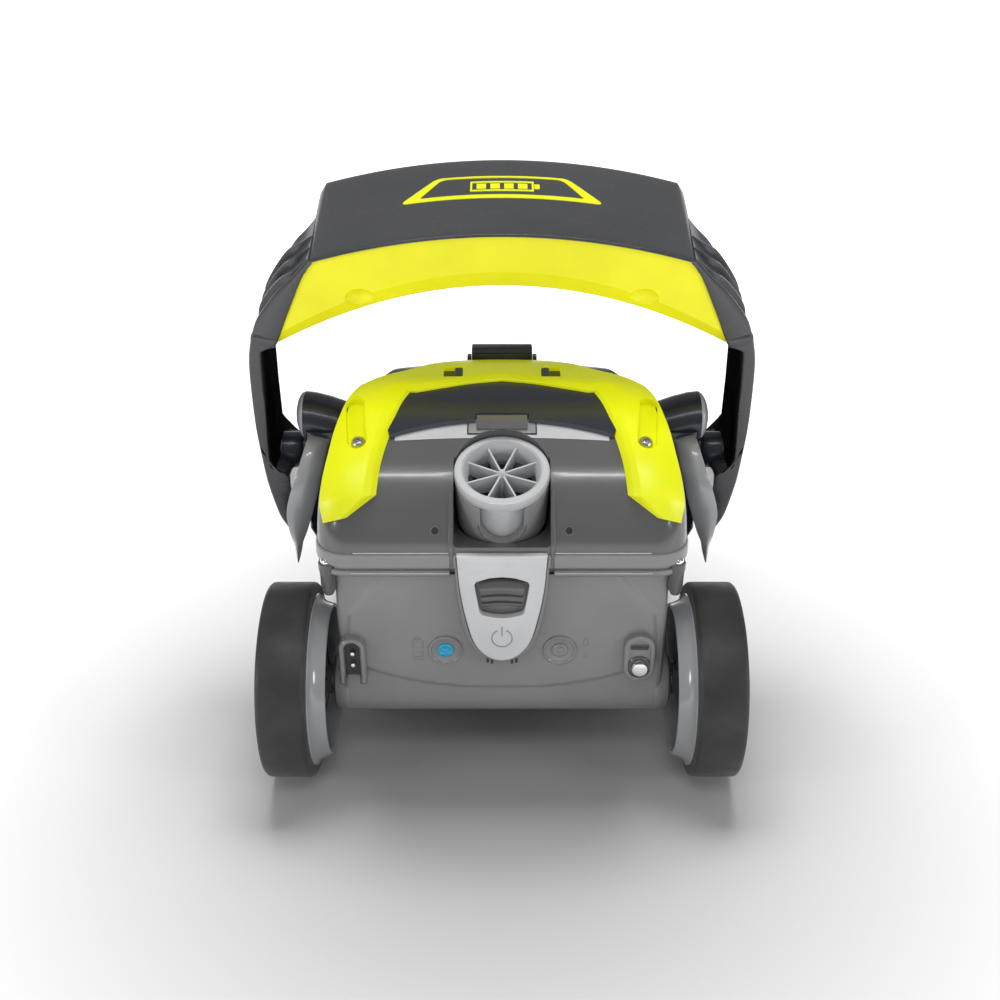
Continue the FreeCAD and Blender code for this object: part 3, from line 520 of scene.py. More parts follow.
def on_dome(point, grow):
    """The point moved along its line from the dome's heart until it lies on the dome."""
    heart = Vector((0, -5, 200))
    ray = Vector(point) - heart
    low, high = 0.2, 3.0
    for _ in range(34):
        middle = (low + high) / 2
        if inside_dome(heart + ray * middle, grow):
            low = middle
        else:
            high = middle
    return heart + ray * low


def dome_normal(point):
    """The dome's outward direction at a point near it, from three points round that point."""
    point = Vector(point)
    here = on_dome(point, 4)
    across = on_dome(point + Vector((1, 0, 0)), 4) - on_dome(point - Vector((1, 0, 0)), 4)
    slope = Vector((0, 0.6, 0.8))
    along = on_dome(point + slope, 4) - on_dome(point - slope, 4)
    normal = across.cross(along).normalized()
    return normal if normal.dot(here - Vector((0, 0, 200))) > 0 else -normal


def rounded_ring(half, rear, front, back, z, fore=0, corner_steps=8, side_steps=12):
    """A rounded rectangle of points at one height, always with the same count."""
    fore = fore or back
    centres = [(half - fore, front - fore, fore, 0), (fore - half, front - fore, fore, 90),
               (back - half, rear + back, back, 180), (half - back, rear + back, back, 270)]
    corners = []
    for x, y, radius, start in centres:
        angles = [math.radians(start + 90 * k / corner_steps) for k in range(corner_steps + 1)]
        corners.append([Vector((x + radius * math.cos(a), y + radius * math.sin(a), z)) for a in angles])
    ring = []
    for number, corner in enumerate(corners):
        ring += corner
        end = corners[(number + 1) % 4][0]
        ring += [corner[-1].lerp(end, k / side_steps) for k in range(1, side_steps)]
    return ring


def dome_skin(name, grow, start=0.0, steps=26):
    """The dome as a closed mesh, from a share of its rise up to its top."""
    rings = []
    first = math.asin(start)
    for step in range(steps + 1):
        share = math.sin(first + (math.pi / 2 - first) * step / steps)
        z = SEAM + share * (RISE + grow)
        half, rear, front = dome_sizes(z, grow)
        back, fore = dome_corners(z, rear, front, grow)
        rings.append(rounded_ring(half, rear, front, back, z, fore))
    return skin(name, rings)


def block(name, low, high):
    """A plain box, used to cut with and as the start of small details."""
    (x0, y0, z0), (x1, y1, z1) = low, high
    ring = [(x0, y0), (x1, y0), (x1, y1), (x0, y1)]
    return skin(name, [[(x, y, z) for x, y in ring] for z in (z0, z1)])


def rounded_block(name, low, high, radius=1.0):
    """A box with rounded edges."""
    return apply_modifiers(bevel(block(name, low, high), radius))


def prism(name, outline, axis, low, high):
    """An outline of the other two coordinates, made solid along an axis."""
    return skin(name, [[along(axis, level, a, b) for a, b in outline] for level in (low, high)])


def spline(points, steps):
    """A smooth line through the points, which are vectors of any length."""
    points = [Vector(p) for p in points]
    result = []
    for k in range(len(points) - 1):
        a = points[max(k - 1, 0)]
        b, c = points[k], points[k + 1]
        d = points[min(k + 2, len(points) - 1)]
        for step in range(steps):
            t = step / steps
            result.append(0.5 * (2 * b + (c - a) * t + (2 * a - 5 * b + 4 * c - d) * t ** 2
                                 + (3 * b - a - 3 * c + d) * t ** 3))
    return result + [points[-1]]


def wire(name, points, radius, closed=False, sides=8):
    """A round bead along a line of points."""
    points = [Vector(p) for p in points]
    rings = []
    for k, here in enumerate(points):
        before = points[k - 1] if closed or k else here
        after = points[(k + 1) % len(points)] if closed or k + 1 < len(points) else here
        run = (after - before).normalized()
        side = run.cross(Vector((0, 0.3, 1))).normalized()
        lift = side.cross(run)
        angles = [2 * math.pi * n / sides for n in range(sides)]
        rings.append([here + side * math.cos(a) * radius + lift * math.sin(a) * radius for a in angles])
    return skin(name, rings, loop=closed, smooth=60)


# ------------------------------------------------------------------ upper shell and lid

def make_shell():
    """The dome with the room for the nozzle and the filter, and what is fixed to it."""
    shell = dome_skin("shell", 0)
    pocket = apply_modifiers(bevel(block("pocket", (-34.5, -145, 210.5), (34.5, -94, 320)), 3))
    barrel_room = lathe("barrel_room", [(0, -60), (34.5, -60), (34.5, 60), (0, 60)], nozzle_place(), 72)
    filter_room = block("filter_room", (-66, -42, 190), (66, 46, 320))
    shell = carve(shell, pocket, barrel_room, filter_room)
    make_shell_holes()
    ears = [rounded_block("ear", (low, 47, 272), (high, 53, 285)) for low, high in ((-28, -24.4), (24.4, 28))]
    finish_piece(joined("hinge_ears", ears), "root", "shell_grey")
    finish_piece(shell, "root", "shell_grey", "upper_shell")
    make_shell_ribs()
    make_crescent()
    make_collar()


def make_shell_holes():
    """A small rimmed screw hole on each side of the nozzle; a black disc in it is painted shade."""
    rim = [(2.5, -1), (2.6, 0.4), (3.1, 0.6), (3.6, 0.4), (3.8, -1)]
    floor = [(0, -1), (2.55, -1), (2.55, 0.22), (0, 0.2)]
    for side, word in SIDES:
        place = Matrix.Translation((47.4 * side, -128, 222.5)) @ Matrix.Rotation(math.radians(69.4), 4, "X")
        finish_piece(lathe(f"shell_hole_rim_{word}", rim, place, 40), "root", "shell_grey")
        # painted shade: a black disc stands for the hole's dark inside
        finish_piece(lathe(f"shell_hole_{word}", floor, place, 32), "root", "black_plastic")


def make_shell_ribs():
    """Two upright ribs, one on each side of the nozzle's pocket, down to the seam."""
    for side, word in SIDES:
        rings = []
        for z in range(196, 250, 3):
            rear = dome_sizes(z, 0)[1]
            rings.append([(side * x, rear + y, z) for x, y in
                          ((34.4, 4), (34.4, -0.9), (34.9, -1.5), (37.2, -1.5), (37.8, -0.9), (37.8, 4))])
        finish_piece(skin(f"shell_rib_{word}", rings), "root", "shell_grey")


def make_crescent():
    """The crescent ledge below the lid's rear rim, pale silver as a painted highlight of the light it
    reflects, and the seat of the latch in its middle.
    """
    rings = []
    half, count = 77, 36
    for k in range(count + 1):
        x = -half + 2 * half * k / count
        bulge = 1 - (x / half) ** 2
        low, high = 272.4 + 1.3 * bulge, 273.6 + 6.0 * bulge
        rings.append([(x, dome_sizes(z, 0)[1] + depth, z) for z, depth in
                      ((low - 0.6, 1.5), (low - 0.5, -0.6), (low, -1.1), (high, -1.1), (high + 0.3, 1.5))])
    # painted highlight: the ledge is given pale silver for the light it reflects
    finish_piece(carve(skin("crescent", rings), mouth_clearance()), "root", "silver")
    latch_pieces = (("latch_gap", 25.2, 274.7, 280.2, 1.5, "black_plastic"),
                    ("latch_seat", 24.2, 275.4, 280.4, 1.9, "tub_grey"))
    for name, half, low, high, proud, look in latch_pieces:
        rings = []
        for k in range(7):
            z = low + (high - low) * k / 6
            y = dome_sizes(z, 0)[1]
            rings.append([(-half, y + 2, z), (-half, y - proud, z), (half, y - proud, z), (half, y + 2, z)])
        finish_piece(carve(skin(name, rings), mouth_clearance()), "root", look)


def mouth_clearance():
    """The room round the nozzle's mouth."""
    return lathe("clearance", [(0, -14), (34.6, -14), (34.6, 40), (0, 40)], nozzle_place(), 64)


def make_collar():
    """The shell's cup round the nozzle, with a U-shaped window in front of the silver tube."""
    place = nozzle_place()
    profile = [(26.6, -47), (26.6, -10.4), (27.4, -9.7), (32.6, -9.7), (33.7, -10.6), (33.9, -16),
               (33.6, -30), (32.6, -47)]
    collar = lathe("collar", profile, place)
    half, outside = 15.5, 33.5
    window = [(half * math.cos(a), -27 + half * math.sin(a)) for a in degrees(180, 360, 10)]
    window += [(half, 0), (-half, 0)]
    cutter = skin("window", [[place @ Vector((x, y, z)) for x, z in window] for y in (-50, -5)])
    collar = carve(collar, cutter)
    # painted light: the collar takes the paler tub grey, not the shell's own grey, to lift the shade in the
    # nozzle's pocket
    finish_piece(bevel(collar, 0.7), "root", "tub_grey")
    lip = [(x * 1.08, z) for x, z in window[:19]]
    line = [place @ Vector((x, -math.sqrt(outside ** 2 - x * x), z - 0.6)) for x, z in lip]
    finish_piece(wire("collar_bead", line, 0.7), "root", "shell_grey")


def lid_outline():
    """The lid seen from above, its rear rim a shallow curve."""
    left = [(-60, 45.5), (-80, 16), (-92, -14), (-94, -45), (-86, -74)]
    rear = [(x, -68.8 - 12.4 * (x / 76) ** 2) for x in range(-80, 81, 8)]
    return left + rear + [(-x, y) for x, y in reversed(left)]


def make_lid():
    """The lid, cut from a skin over the dome, with its hinge tab, knuckle and pin."""
    lid = dome_skin("lid_skin", LID_PROUD, 0.3)
    carve(lid, prism("plan", lid_outline(), "z", 200, 330), operation="INTERSECT")
    inner = dome_skin("inner", 0.8, 0.0)
    latch_room = block("latch_room", (-19.4, -100, 262), (19.4, -64, 310))
    lid = carve(lid, inner, latch_room)
    tab = rounded_block("tab", (-24, 35, 274), (24, 45.5, 296.2), 1.2)
    knuckle = rounded_block("hinge_knuckle", (-23.6, 44.5, 283), (23.6, 53, 293.4), 1.6)
    finish_piece(knuckle, "lid", "navy")
    pin = lathe("hinge_pin_skin", [(0, -22), (1.1, -22), (1.1, 22), (0, 22)],
                Matrix.Translation((0, 50, 289.4)) @ Matrix.Rotation(math.pi / 2, 4, "Y"), 20)
    finish_piece(pin, "root", "steel", "lid_hinge_pin")
    groove = block("groove", (-25, 30, 291.6), (25, 35.6, 292.6))
    lid_tab = carve(tab, groove)
    finish_piece(bevel(lid, 0.7), "lid", "navy", "lid")
    finish_piece(lid_tab, "lid", "navy")
    make_latch()


def make_latch():
    """The lid's spring tab, bent down over the shell's rear."""
    outline = [(-76.2, 277.4), (-76.2, 279.6), (-75.2, 280.4), (-67, 283.6), (-64.8, 283.9), (-64.5, 282.0),
               (-73.2, 278.4), (-75, 276.9)]
    latch = prism("latch", outline, "x", -18.4, 18.4)
    finish_piece(bevel(latch, 0.5), "lid_latch", "shell_grey", "lid_latch")


# ------------------------------------------------------------------ lime band

BAND_OUTER = [(0, 33.6, 287.4), (-24, 29, 289.5), (-46, 13, 293.5), (-67, -5.2, 296), (-97.1, -22.5, 294),
              (-107.9, -29, 290.8), (-115, -44, 286.6), (-119.5, -64, 281), (-124.3, -90.8, 268.2),
              (-127.6, -106.5, 255), (-129.9, -120.3, 238.3)]
BAND_INNER_ARCH = [(0, -21.2, 292.2), (-23.4, -26.3, 292.1), (-45.5, -33.8, 291.5), (-67.6, -41.2, 290.3)]
BAND_INNER_LEG = [(-67.6, -39, 289.2), (-71.2, -50.1, 285.9), (-75.8, -65.5, 281.4), (-80.5, -78.2, 276.1),
                  (-84, -90.3, 269.3), (-87, -102, 260.6), (-88.4, -110.2, 252.8), (-89.3, -116.7, 245)]
BAND_END = ((-129.9, -128.2, 227.6), (-110.3, -125.3, 231.2))
BAND_CHAMFER = [0.08, 0.08, 0.09, 0.16, 0.5, 0.2, 0.06, 0.06, 0.06, 0.06, 0.06]
BAND_STEPS = 4
POCKET_RADIUS, POCKET_DEPTH = 7.2, 5.6


def band_ring(outer, inner, top, base, chamfer):
    """The band's section from its outer to its inner edge: rolled edges and a chamfer inside."""
    shares = [(0, base), (0, top - 1.3), (0.012, top - 0.5), (0.03, top), (0.25, top), (0.5, top),
              (1 - chamfer - 0.02, top), (1 - chamfer, top - 0.25), (0.985, top - 2.0), (1, top - 2.9),
              (1, base)]
    outer, inner = Vector(outer), Vector(inner)
    return [on_dome(outer.lerp(inner, share), grow) for share, grow in shares]


def make_band():
    """The lime horseshoe with its two slots, its screw pockets and its screws."""
    outer = spline(BAND_OUTER, BAND_STEPS)
    inner = spline(BAND_INNER_ARCH, BAND_STEPS)[:-1] + spline(BAND_INNER_LEG, BAND_STEPS)
    half = []
    for k, (out, inn) in enumerate(zip(outer, inner)):
        cell, part = divmod(k, BAND_STEPS)
        here, after = BAND_CHAMFER[cell], BAND_CHAMFER[min(cell + 1, len(BAND_CHAMFER) - 1)]
        chamfer = here + (after - here) * part / BAND_STEPS
        base = 3.65 if cell < 3 else max(0.6, 3.65 - (k - 3 * BAND_STEPS) * 0.8)
        half.append(band_ring(out, inn, BAND_PROUD, base, chamfer))
    half.append(band_ring(BAND_END[0], BAND_END[1], 5.2, 0.6, 0.06))
    other = [[Vector((-p.x, p.y, p.z)) for p in ring] for ring in half[1:]]
    band = skin("band", list(reversed(other)) + half, smooth=24)
    for side, word in SIDES:
        band = carve(band, slot_cutter(side), pocket_cutter(side), smooth=24)
        finish_piece(make_screw(f"band_screw_{word}", band_screw_place(side), 5.3), "lid", "steel")
        low, high = sorted((30 * side, 36 * side))
        wedge = rounded_block(f"slot_wedge_{word}", (low, -21.6, 291), (high, -1.4, 294.8), 0.8)
        finish_piece(wedge, "lid", "navy")
    finish_piece(band, "lid", "lime", "lime_band", "band_screws")


def slot_cutter(side):
    """The room of one slot in the top of the band."""
    low, high = sorted((29.6 * side, 44.4 * side))
    return block("slot", (low, -22, 291.4), (high, -1, 310))


def band_screw_place(side):
    """The screw's frame: on the pocket's floor, its axis square to the dome."""
    at = on_dome((-103.2, -90, 276.2), BAND_PROUD)
    normal = dome_normal(at)
    at = at - normal * POCKET_DEPTH
    at.x, normal.x = -side * at.x, -side * normal.x
    return Matrix.Translation(at) @ normal.to_track_quat("Z", "Y").to_matrix().to_4x4()


def pocket_cutter(side):
    """A straight-sided channel with round ends that runs up the band from the screw."""
    low, high = (on_dome(point, BAND_PROUD) for point in ((-103.6, -90.4, 276), (-107.6, -54, 287.4)))
    normal = (dome_normal(low) * 0.6 + dome_normal(high) * 0.4).normalized()
    run = (high - low).normalized()
    across = normal.cross(run).normalized()
    outline = []
    for centre, start in ((high, 0), (low, 180)):
        for angle in degrees(start, start + 180, 15):
            outline.append(centre + (across * math.cos(angle) + run * math.sin(angle)) * POCKET_RADIUS)
    rings = [[p + normal * depth for p in outline] for depth in (-POCKET_DEPTH, 14)]
    if side > 0:
        rings = [[Vector((-p.x, p.y, p.z)) for p in ring] for ring in rings]
    return skin("pocket", rings)


def make_screw(name, place, radius):
    """A domed screw head with a hexagon socket."""
    profile = [(0, -1.5), (radius, -1.5), (radius, 0.4)]
    profile += [(radius * math.cos(a), 0.4 + radius * 0.72 * math.sin(a)) for a in degrees(15, 75, 15)]
    profile += [(0, 0.4 + radius * 0.72)]
    head = lathe(name, profile, place, 40, 50)
    corners = degrees(0, 300, 60)
    cutter = skin("socket", [[place @ Vector((radius * 0.42 * math.cos(a), radius * 0.42 * math.sin(a), z))
                              for a in corners] for z in (radius * 0.45, radius * 2)])
    return carve(head, cutter)


# ------------------------------------------------------------------ jet nozzle

def nozzle_place():
    """Local Z runs out of the nozzle's mouth."""
    return Matrix.Translation(NOZZLE_AT) @ Matrix.Rotation(NOZZLE_TILT, 4, "X")


def make_nozzle():
    """The mouth ring, the tube with its lining, and the grille."""
    place = nozzle_place()
    ring = [(24.6, -9), (25.2, -5.2), (26.6, -3.2), (27.2, -1.6), (27.8, -0.6), (28.4, -0.9), (28.9, -0.2),
            (29.6, 0), (32.4, 0), (33.6, -0.6), (34.2, -2), (34.2, -6), (33.4, -8.6), (31, -9)]
    finish_piece(lathe("mouth_ring", ring, place), "root", "silver", "nozzle_ring")
    tube = [(22, -86), (22, -34), (24.4, -30), (24.4, -9.2), (25.9, -9.2), (25.9, -86)]
    finish_piece(lathe("nozzle_tube", tube, place), "root", "silver", "nozzle_barrel")
    lining = lathe("tube_lining", [(21.6, -80), (21.6, -17), (22.6, -15.5), (24.3, -15), (24.3, -80)], place)
    finish_piece(lining, "root", "shell_grey")
    finish_piece(joined("grille", grille_parts(place)), "root", "silver", "nozzle_grille")


def grille_parts(place):
    """The grille's cone and its eight vanes, thicker toward their roots."""
    cone = [(0, -26), (5.6, -24), (5.4, -14), (4.8, -8), (3.6, -4.6), (1.7, -1.9), (0, -1)]
    parts = [lathe("grille_hub", cone, place, 40)]
    section = [(2.2, -4.4, 0.7), (27.2, -3.4, 0.7), (25.0, -15, 1.1), (3.0, -21, 1.1)]
    for number in range(8):
        turn = place @ Matrix.Rotation(math.radians(22.5 + 45 * number), 4, "Z")
        rings = [[turn @ Vector((r, side * thick, h)) for r, h, thick in section] for side in (-1, 1)]
        parts.append(bevel(skin("vane", rings), 0.25, 2))
    return parts


# ------------------------------------------------------------------ wheels

def across_place(side, y, z):
    """Local Z runs outward along X on the given side."""
    turn = Matrix.Rotation(math.radians(90 * side), 4, "Y")
    return Matrix.Translation((0, y, z)) @ turn


def make_rear_wheels():
    """Tyre, rim, ribbed disc and hub cap, as (radius, distance from the middle) profiles."""
    for side, word in SIDES:
        place = across_place(side, AXLE_Y, WHEEL_R)
        body = f"rear_wheel_{word}"
        tyre = [(63.2, 143), (70.5, 143), (73.2, 143.7), (74.6, 145.2), (75, 147), (75, 175.6), (74.6, 177.4),
                (73.2, 178.9), (70.5, 179.6), (63.2, 179.6)]
        finish_piece(lathe(f"tyre_{word}", tyre, place, 160), body, "tyre", f"rear_tyre_{word}")
        rim = [(55.6, 131), (56.2, 130.2), (57.4, 130), (58.3, 130.6), (59, 133), (60.4, 137), (63, 140.4),
               (66.2, 142), (66.5, 142.9), (63, 142.9), (63, 179.4), (61.4, 179.4), (60.4, 178.6),
               (58.8, 160), (57.4, 157.4), (55, 153.2), (54.4, 148), (54.8, 136)]
        finish_piece(lathe(f"rim_{word}", rim, place, 160), body, "silver_blade", f"rear_rim_{word}",
                     slot="silver")
        finish_piece(rear_disc(place, word), body, "shell_grey", f"rear_disc_{word}", slot="silver")
        cap = [(0, 170.2), (19.6, 170.2), (19.8, 171.2), (15.2, 176.6), (13, 177.9), (10, 178.4),
               (9.4, 177.9), (8.8, 178.5), (0, 179)]
        finish_piece(lathe(f"cap_{word}", cap, place, 64), body, "silver", f"rear_cap_{word}")


def rear_disc(place, word):
    """The wheel's web with six pairs of ribs: thin ones on its inner side, wide ones on its outer side."""
    web = [(56, 153.4), (57.6, 157.2), (50, 157.4), (46, 159.6), (24, 160.6), (20, 170), (5.06, 170),
           (5.06, 131), (11, 131), (12, 132), (12, 152.4), (20, 153)]
    parts = [lathe("face", web, place, 120)]
    inner_rib = [(11.6, 134), (11.6, 154), (56, 154), (56, 142), (34, 139)]
    outer_rib = [(19, 165), (19, 160), (55.4, 157), (57.5, 160.5), (40, 162.6)]
    for number in range(6):
        turn = place @ Matrix.Rotation(math.radians(60 * number), 4, "Z")
        for outline, half in ((inner_rib, 1.2), (outer_rib, 3)):
            rings = [[turn @ Vector((r, width, h)) for r, h in outline] for width in (-half, half)]
            parts.append(bevel(skin("rib", rings), 0.8))
    return joined(f"disc_{word}", parts)


def make_front_wheels():
    """Tyre and hub of the small wheels."""
    for side, word in SIDES:
        place = across_place(side, FRONT_AXLE_Y, FRONT_WHEEL_R)
        body = f"front_wheel_{word}"
        tyre = [(34.1, 126), (39, 126), (41.2, 126.8), (42, 128.6), (42, 149.4), (41.2, 151.2),
                (39, 152), (34.1, 152)]
        finish_piece(lathe(f"front_tyre_skin_{word}", tyre, place, 120), body, "tyre", f"front_tyre_{word}")
        hub = [(34, 126.2), (34, 151.8), (32.8, 151.8), (31, 150.6), (29.4, 142.6), (14, 143.4), (10.4, 145),
               (9.6, 148), (5.1, 148), (5.1, 124), (10, 124), (10, 138), (29, 138), (31, 127), (32.4, 126.2)]
        finish_piece(lathe(f"front_hub_skin_{word}", hub, place, 96), body, "silver", f"front_hub_{word}")


# ------------------------------------------------------------------ lower housing

HOOD_X, HOOD_TOP, HOOD_LOW, HOOD_HALF, HOOD_WALL = -111.5, 122.4, 93, 10, 4.2
TUB_HALF, TUB_FRONT, TUB_EDGE, TUB_ROLL = 122, 160, 5, 25
PANEL_LOW, PANEL_TOP = 75, 184.5


def panel_depth(x, z):
    """How far the rear panel's raised middle stands out: it ends along a wide, smile-shaped line."""
    low = 82 + 17 * (abs(x) / 100) ** 2.4
    side = 117 - 10 * ((z - 110) / 70) ** 2 - max(0, z - 150) * 0.55
    gap = min((z - low) / 4.5, (side - abs(x)) / 4)
    share = min(max(gap, 0), 1)
    return PANEL_RAISED * share * share * (3 - 2 * share)


def make_housing():
    """The tub: a shell form with a shaped rear panel, its lower edge rolled round the axle line."""
    columns, rows = 122, 56
    levels = [PANEL_TOP - (PANEL_TOP - PANEL_LOW) * k / rows for k in range(rows + 1)]
    front = [(TUB_FRONT - 30, 50), (TUB_FRONT, 64), (TUB_FRONT, PANEL_TOP)]
    rings = []
    for k in range(columns + 1):
        x = -TUB_HALF + 2 * TUB_HALF * k / columns
        past = max(0, abs(x) - (TUB_HALF - TUB_EDGE))
        rear = PANEL_RAISED + TUB_EDGE - math.sqrt(max(0, TUB_EDGE ** 2 - past ** 2))
        panel = [(PANEL_Y + rear - panel_depth(x, z), z) for z in levels]
        roll = [(AXLE_Y + rear - TUB_ROLL * math.cos(a), PANEL_LOW - TUB_ROLL * math.sin(a))
                for a in degrees(7.5, 90, 7.5)]
        rings.append([(x, y, z) for y, z in panel + roll + front])
    tub = skin("housing", rings, smooth=24)
    room = block("room", (-118, -118, 62), (118, 155, 200))
    mouth = block("mouth", (-72, 29, 40), (72, 65.5, 70))
    finish_piece(carve(tub, room, mouth, smooth=24), "root", "tub_grey", "lower_housing")
    make_axle_bosses()
    make_panel_icons()
    make_hood()
    make_flange()


def make_seam_band():
    """The shell's lower band, a little proud of the dome, and thin silver beads above and below it that are
    painted highlights along its edges.
    """
    rings = []
    profile = [(-1.5, 194.9), (0.5, 194.9), (1.2, 195.6), (1.3, 200), (1.3, 204.4), (0.7, 205.4),
               (-1.5, 205.6)]
    for out, z in profile:
        half, rear, front = dome_sizes(z, 0)
        rings.append(rounded_ring(half + out, rear - out, front + out, CORNER + out, z))
    band = carve(skin("seam_band", rings, smooth=20), block("band_room", (-33, -150, 190), (33, -90, 210)),
                 block("band_heart", (-128, -124, 190), (128, 158, 210)), smooth=20)
    finish_piece(band, "root", "tub_grey")
    # painted highlights: thin silver beads where the edges catch the light
    high = 206.4
    rear = dome_sizes(high, 0)[1] - 0.3
    for side, word in SIDES:
        highlight_bead = wire(f"shell_highlight_bead_{word}", [(side * x, rear, high) for x in (38, 56, 74, 92, 106)], 0.5)
        finish_piece(highlight_bead, "root", "silver")
        lip = wire(f"flange_highlight_bead_{word}", [(side * x, -132.1, 189.6) for x in (38, 56, 74, 92, 108)], 0.55)
        finish_piece(lip, "root", "silver")


def make_axle_bosses():
    """The round ends of the tub's rolled lower edge, where the rear wheels' axles come out."""
    profile = [(0, 116), (24, 116), (24, 122), (22, 127), (18, 129.2), (8, 129.2), (5.2, 128), (0, 128)]
    for side, word in SIDES:
        boss = lathe(f"axle_boss_{word}", profile, across_place(side, AXLE_Y, WHEEL_R), 72)
        finish_piece(boss, "root", "tub_grey")


def facing_rear(x, y, z):
    """Local Z runs out of the rear panel."""
    return Matrix.Translation((x, y, z)) @ Matrix.Rotation(math.pi / 2, 4, "X")


def on_panel(x, z, proud=0.0):
    """A point on the rear panel, or proud of it."""
    return Vector((x, PANEL_Y + PANEL_RAISED - panel_depth(x, z) - proud, z))


def panel_line(name, points, radius=0.32, closed=False):
    """A fine raised line on the rear panel."""
    return wire(name, [on_panel(x, z, radius * 0.2) for x, z in points], radius, closed, 6)


def box_line(x, z, half_x, half_z):
    """The corners of a rectangle."""
    return [(x + across * half_x, z + up * half_z) for across, up in ((-1, -1), (1, -1), (1, 1), (-1, 1))]


def make_panel_icons():
    """Raised pictograms: a battery beside the left lamp, a drop and a bar beside the right one."""
    battery = [panel_line("cell", rounded(box_line(-62.5, 119, 3.6, 9), 1), closed=True),
               panel_line("cap", [(-64.4, 128.2), (-64.4, 130), (-60.6, 130), (-60.6, 128.2)])]
    battery += [panel_line("bar", [(-64.6, z), (-60.4, z)], 0.45) for z in (112.6, 116.8, 121, 125.2)]
    drop = [(62 + 2.2 * math.sin(a), 125 - 2.4 * math.cos(a)) for a in degrees(-120, 120, 30)] + [(62, 129.5)]
    marks = [panel_line("drop", drop, 0.3, True), panel_line("bar", [(61, 115.2), (63.6, 115.2)], 0.4),
             panel_line("bar", [(61, 112.4), (63.6, 112.4)], 0.4)]
    finish_piece(joined("panel_icons", battery + marks), "root", "tub_grey")


def make_flange():
    """The seam: a stepped flange with a bright lip, notched for the control plate."""
    steps = [(0, 184.6), (0.4, 184.2), (7.5, 185.8), (9, 187), (9.6, 188), (9.6, 190.6), (8.8, 191.4),
             (7, 191.6), (7, 192.6), (8.2, 193.4), (8.2, 193.6)]
    rings = []
    for reach, z in steps:
        half = 124 + reach
        rings.append(rounded_ring(half, PANEL_Y + 0.5 - reach * 0.76, 161 + reach * 0.5, 12 + reach, z))
    flange = skin("flange", rings, smooth=20)
    room = block("flange_room", (-119, -119, 180), (119, 156, 200))
    notch = block("notch", (-37.5, -140, 180), (37.5, -122, 200))
    flange = carve(flange, room, notch, smooth=20)
    finish_piece(flange, "root", "tub_grey", "seam_flange")
    make_seam_band()
    seal = skin("seal", [rounded_ring(131 - i, -129.4 + i, 163.4 - i, 22, z) for i, z in
                         ((0, 193.7), (0, 194.9), (8, 194.9), (8, 193.7))], caps=False, loop=True)
    finish_piece(seal, "root", "rubber", "seam_gasket")
    make_corner_screws()


def make_corner_screws():
    """A screw on a tapered boss at each corner of the seam."""
    boss = [(0, 168), (3.4, 168), (5.2, 172), (5.6, 186), (6.4, 190), (6.4, 194.4), (5.9, 194.9), (0, 194.9)]
    for number, (x, y) in enumerate(((-126, -124), (126, -124), (-126, 158), (126, 158))):
        foot = lathe(f"corner_boss_{number}", boss, Matrix.Translation((x, y, 0)), 40)
        finish_piece(foot, "root", "shell_grey")
        screw = make_screw(f"corner_screw_{number}", Matrix.Translation((x, y, 195.4)), 4.8)
        nodes = [] if number else ["corner_screws"]
        finish_piece(screw, "root", "chrome", *nodes)


def half_round(centre, level, reach, first=0):
    """Half a circle of (x, z) points, 12 degrees apart, from the angle first."""
    turns = degrees(first, first + 180, 12)
    return [(centre + reach * math.cos(a), level + reach * math.sin(a)) for a in turns]


def hood_arch(reach, bottom):
    """An arch of (x, z) points over the charging contacts, with straight legs."""
    return [(HOOD_X + reach, bottom)] + half_round(HOOD_X, HOOD_TOP, reach) + [(HOOD_X - reach, bottom)]


def hood_shell():
    """The hood's wall between two arches, its rear edges drawn in toward each other."""
    outer, inner = hood_arch(HOOD_HALF, HOOD_LOW), hood_arch(HOOD_HALF - HOOD_WALL, HOOD_LOW)
    outline = [(point, -1) for point in outer] + [(point, 1) for point in reversed(inner)]
    rings = []
    for inset, y in ((0.0, -122), (0.0, -129.6), (0.5, -130.9), (1.4, -131.6)):
        ring = []
        for (x, z), sign in outline:
            middle = min(z, HOOD_TOP)
            reach = math.hypot(x - HOOD_X, z - middle) or 1
            share = (reach + sign * inset) / reach
            ring.append((HOOD_X + (x - HOOD_X) * share, y, middle + (z - middle) * share))
        rings.append(ring)
    return skin("hood", rings, smooth=28)


def make_hood():
    """The arched hood over the charging contacts, open below, on two short feet."""
    finish_piece(hood_shell(), "root", "tub_grey", "port_hood")
    dark = prism("hood_floor", hood_arch(HOOD_HALF - HOOD_WALL + 0.2, HOOD_LOW + 4), "y", -121, -125.8)
    finish_piece(dark, "root", "black_plastic", "port_socket")
    feet = [rounded_block("foot", (x - 2.3, -131.2, 91.6), (x + 2.3, -123, 98.6), 0.8)
            for x in (-118.9, -104.1)]
    finish_piece(joined("hood_feet", feet), "root", "shell_grey")
    pin = [(0, 0), (2.1, 0), (2.1, 3.2), (1.5, 4.4), (0, 4.8)]
    pins = [lathe("pin", pin, facing_rear(-111.3, -124.8, z), 24) for z in (107.5, 117.5)]
    finish_piece(joined("contacts", pins), "root", "chrome", "port_pins")


# ------------------------------------------------------------------ control plate and lamps

PLATE_EDGE = [(32.4, 207), (31.6, 195), (30.6, 181), (28.4, 165), (25.6, 151), (22.4, 138), (18.6, 129.5),
              (13, 122.6), (6.5, 118.4), (0, 117.1)]
WINDOW = [(18.6, 185.2), (9.4, 188.4), (0, 189.4), (-9.4, 188.4), (-18.6, 185.2), (-19.8, 182.4),
          (-16.2, 160), (-14.4, 157.6), (-7, 155.4), (0, 154.8), (7, 155.4), (14.4, 157.6), (16.2, 160),
          (19.8, 182.4)]


